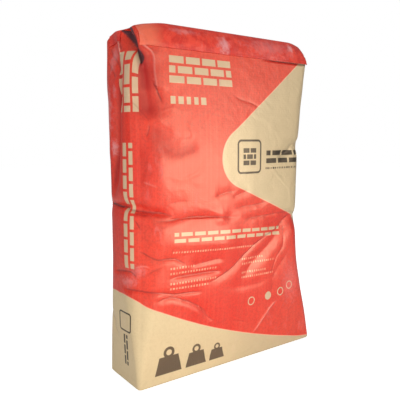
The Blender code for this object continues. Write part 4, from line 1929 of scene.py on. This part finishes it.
@dataclass
class ValveSleeve(Sheet):
    """The lip of the filling sleeve, in the pleat of the top left corner."""

    drop: float = 0.012
    end_gap: float = 0.0008
    front: float = 0.0
    back: float = 0.031

    def region(self) -> tuple[Point, Point]:
        """A strip over the top of the box's left end."""
        form = self.sack.form
        left = form.width / 2
        return ((-left, self.front, form.height - self.drop),
                (TopPatch.margin - self.end_gap - left, self.back, form.height))


@dataclass(frozen=True)
class Lamp:
    """A square soft lamp that points at the bag's middle line.

    Attributes:
        name: Its name.
        place: Where it hangs.
        size: Its side, in metres.
        power: Its power, in watts.
        colour: Its colour.
        sheen: True for a lamp that only the film's sheen shows, False for one that only lights.
        aim: How high up the bag it points, in metres.
    """

    name: str
    place: Point
    size: float
    power: float
    colour: Colour = (1.0, 1.0, 1.0)
    sheen: bool = False
    aim: float = 0.25

    def hang(self) -> None:
        """Adds the lamp to the scene."""
        data = bpy.data.lights.new(self.name, "AREA")
        data.size = self.size
        data.energy = self.power
        data.color = self.colour
        lamp = bpy.data.objects.new(self.name, data)
        lamp.visible_diffuse = not self.sheen
        lamp.visible_glossy = self.sheen
        lamp.visible_camera = False
        put_up(lamp, self.place, Vector((0, 0, self.aim)) - Vector(self.place))


def put_up(holder: bpy.types.Object, place: Point, forward: Vector) -> None:
    """Puts a lamp or a camera in the scene.

    Args:
        holder: The lamp or camera.
        place: Where it goes.
        forward: The way that it looks.
    """
    holder.location = place
    holder.rotation_mode = "QUATERNION"
    holder.rotation_quaternion = forward.to_track_quat("-Z", "Y")
    bpy.context.scene.collection.objects.link(holder)


DAYLIGHT = (1.0, 0.97, 0.92)
SUNLIGHT = (1.0, 0.94, 0.84)


@dataclass(frozen=True)
class Studio:
    """The pale floor, the soft lamps and the camera. The camera's yaw is to the right of +Y and its pitch
    down, in radians."""

    # The camera's place, turn and lens come from a scratch script's fit to the photo's outline
    camera_place: Point = (-0.49372, -0.64082, 0.35148)
    camera_yaw: float = 0.62397
    camera_pitch: float = 0.11804
    lens: float = 45.797
    sensor: float = 36.0
    farthest: float = 50.0
    floor_half: float = 6.0
    floor_grey: float = 0.80
    floor_roughness: float = 0.8
    floor_glow: float = 0.80
    world_light: float = 0.25
    world_seen: float = 1.0
    lamps: tuple[Lamp, ...] = (
        Lamp("key", (-0.25, -1.40, 0.80), 1.2, 11.6, DAYLIGHT),
        Lamp("low", (-0.10, -0.50, 0.07), 0.12, 0.95, DAYLIGHT, aim=0.0),
        Lamp("fill", (-1.6, -0.5, 0.50), 1.2, 10.6),
        Lamp("back", (0.5, 1.8, 0.8), 1.2, 14.0),
        Lamp("sheen", (1.02, -2.08, 0.27), 0.85, 13.2, SUNLIGHT, sheen=True),
        Lamp("low_sheen", (0.50, -0.95, 0.12), 0.30, 2.2, SUNLIGHT, sheen=True),
        Lamp("high_sheen", (1.60, -2.08, 1.15), 0.90, 9.0, SUNLIGHT, sheen=True))

    def floor(self) -> None:
        """Makes the floor, which glows for the camera alone."""
        mesh = bmesh.new()
        bmesh.ops.create_grid(mesh, x_segments=2, y_segments=2, size=self.floor_half)
        data = bpy.data.meshes.new("studio_floor")
        mesh.to_mesh(data)
        mesh.free()
        material = bpy.data.materials.new("studio_floor")
        material.use_nodes = True
        inputs = material.node_tree.nodes["Principled BSDF"].inputs
        wiring = Wiring(material.node_tree)
        wiring.join((self.floor_grey,) * 3, inputs["Base Color"])
        wiring.join(self.floor_roughness, inputs["Roughness"])
        wiring.join((1.0, 1.0, 1.0), inputs["Emission Color"])
        seen = wiring.read("ShaderNodeLightPath", {}, "Is Camera Ray")
        wiring.join(seen * self.floor_glow, inputs["Emission Strength"])
        data.materials.append(material)
        floor = bpy.data.objects.new("studio_floor", data)
        bpy.context.scene.collection.objects.link(floor)

    def world(self) -> None:
        """Makes the white world, which the camera sees brighter than it lights."""
        world = bpy.data.worlds.new("studio")
        world.use_nodes = True
        wiring = Wiring(world.node_tree)
        background = world.node_tree.nodes["Background"]
        seen = wiring.read("ShaderNodeLightPath", {}, "Is Camera Ray")
        wiring.join((1.0, 1.0, 1.0), background.inputs["Color"])
        wiring.join(seen * (self.world_seen - self.world_light) + self.world_light,
                    background.inputs["Strength"])
        bpy.context.scene.world = world

    def camera(self) -> None:
        """Makes the camera."""
        yaw, pitch = self.camera_yaw, self.camera_pitch
        data = bpy.data.cameras.new("camera")
        data.lens = self.lens
        data.sensor_width = self.sensor
        data.clip_end = self.farthest
        camera = bpy.data.objects.new("camera", data)
        put_up(camera, self.camera_place, Vector((math.sin(yaw) * math.cos(pitch),
                                                math.cos(yaw) * math.cos(pitch), -math.sin(pitch))))
        bpy.context.scene.camera = camera

    def build(self) -> None:
        """Makes the floor, the world, the lamps and the camera."""
        bpy.context.scene.view_settings.view_transform = "Standard"
        self.floor()
        self.world()
        for lamp in self.lamps:
            lamp.hang()
        self.camera()


def wanted_lines(form: BagForm) -> tuple[tuple[float, ...], ...]:
    """The places on each axis where a sheet's edge or the floor's needs a line of the cloth.

    Args:
        form: The bag's form.

    Returns:
        The places on the three axes.
    """
    top_end = form.width / 2 - TopPatch.margin
    floor_end = form.width / 2 - BottomPatch.margin
    floor_side = form.depth / 2 - BottomPatch.margin
    return ((-top_end - ValveSleeve.end_gap, -top_end, -floor_end, 0.0, floor_end, top_end),
            (-floor_side, ValveSleeve.front, floor_side, ValveSleeve.back),
            (form.floor_edge_radius / 2, form.floor_edge_radius, form.height - ValveSleeve.drop,
             form.height - TopPatch.lap))


def main() -> None:
    """Builds the bag and its studio."""
    logging.basicConfig(level=logging.INFO, format="%(message)s")
    form = BagForm()
    sack = Sack(form, Lattice(form), Settling(), wanted_lines(form))
    woven = sack.finish(PrintedFilm())
    cover = TopPatch("top_cover_patch", "top_patch", "patch_film", sack).finish(TOP_FILM)
    foot = BottomPatch("bottom_cover_patch", "bottom_patch", "kraft_cloth", sack).finish(BOTTOM_FILM)
    sleeve = ValveSleeve("valve_sleeve_lip", "valve_sleeve", "sleeve_cloth", sack).finish(SLEEVE_FILM)
    for piece in (woven, cover, foot, sleeve):
        log.info("%s: %d faces", piece.name, len(piece.data.polygons))

    Studio().build()


if __name__ == "__main__":
    main()
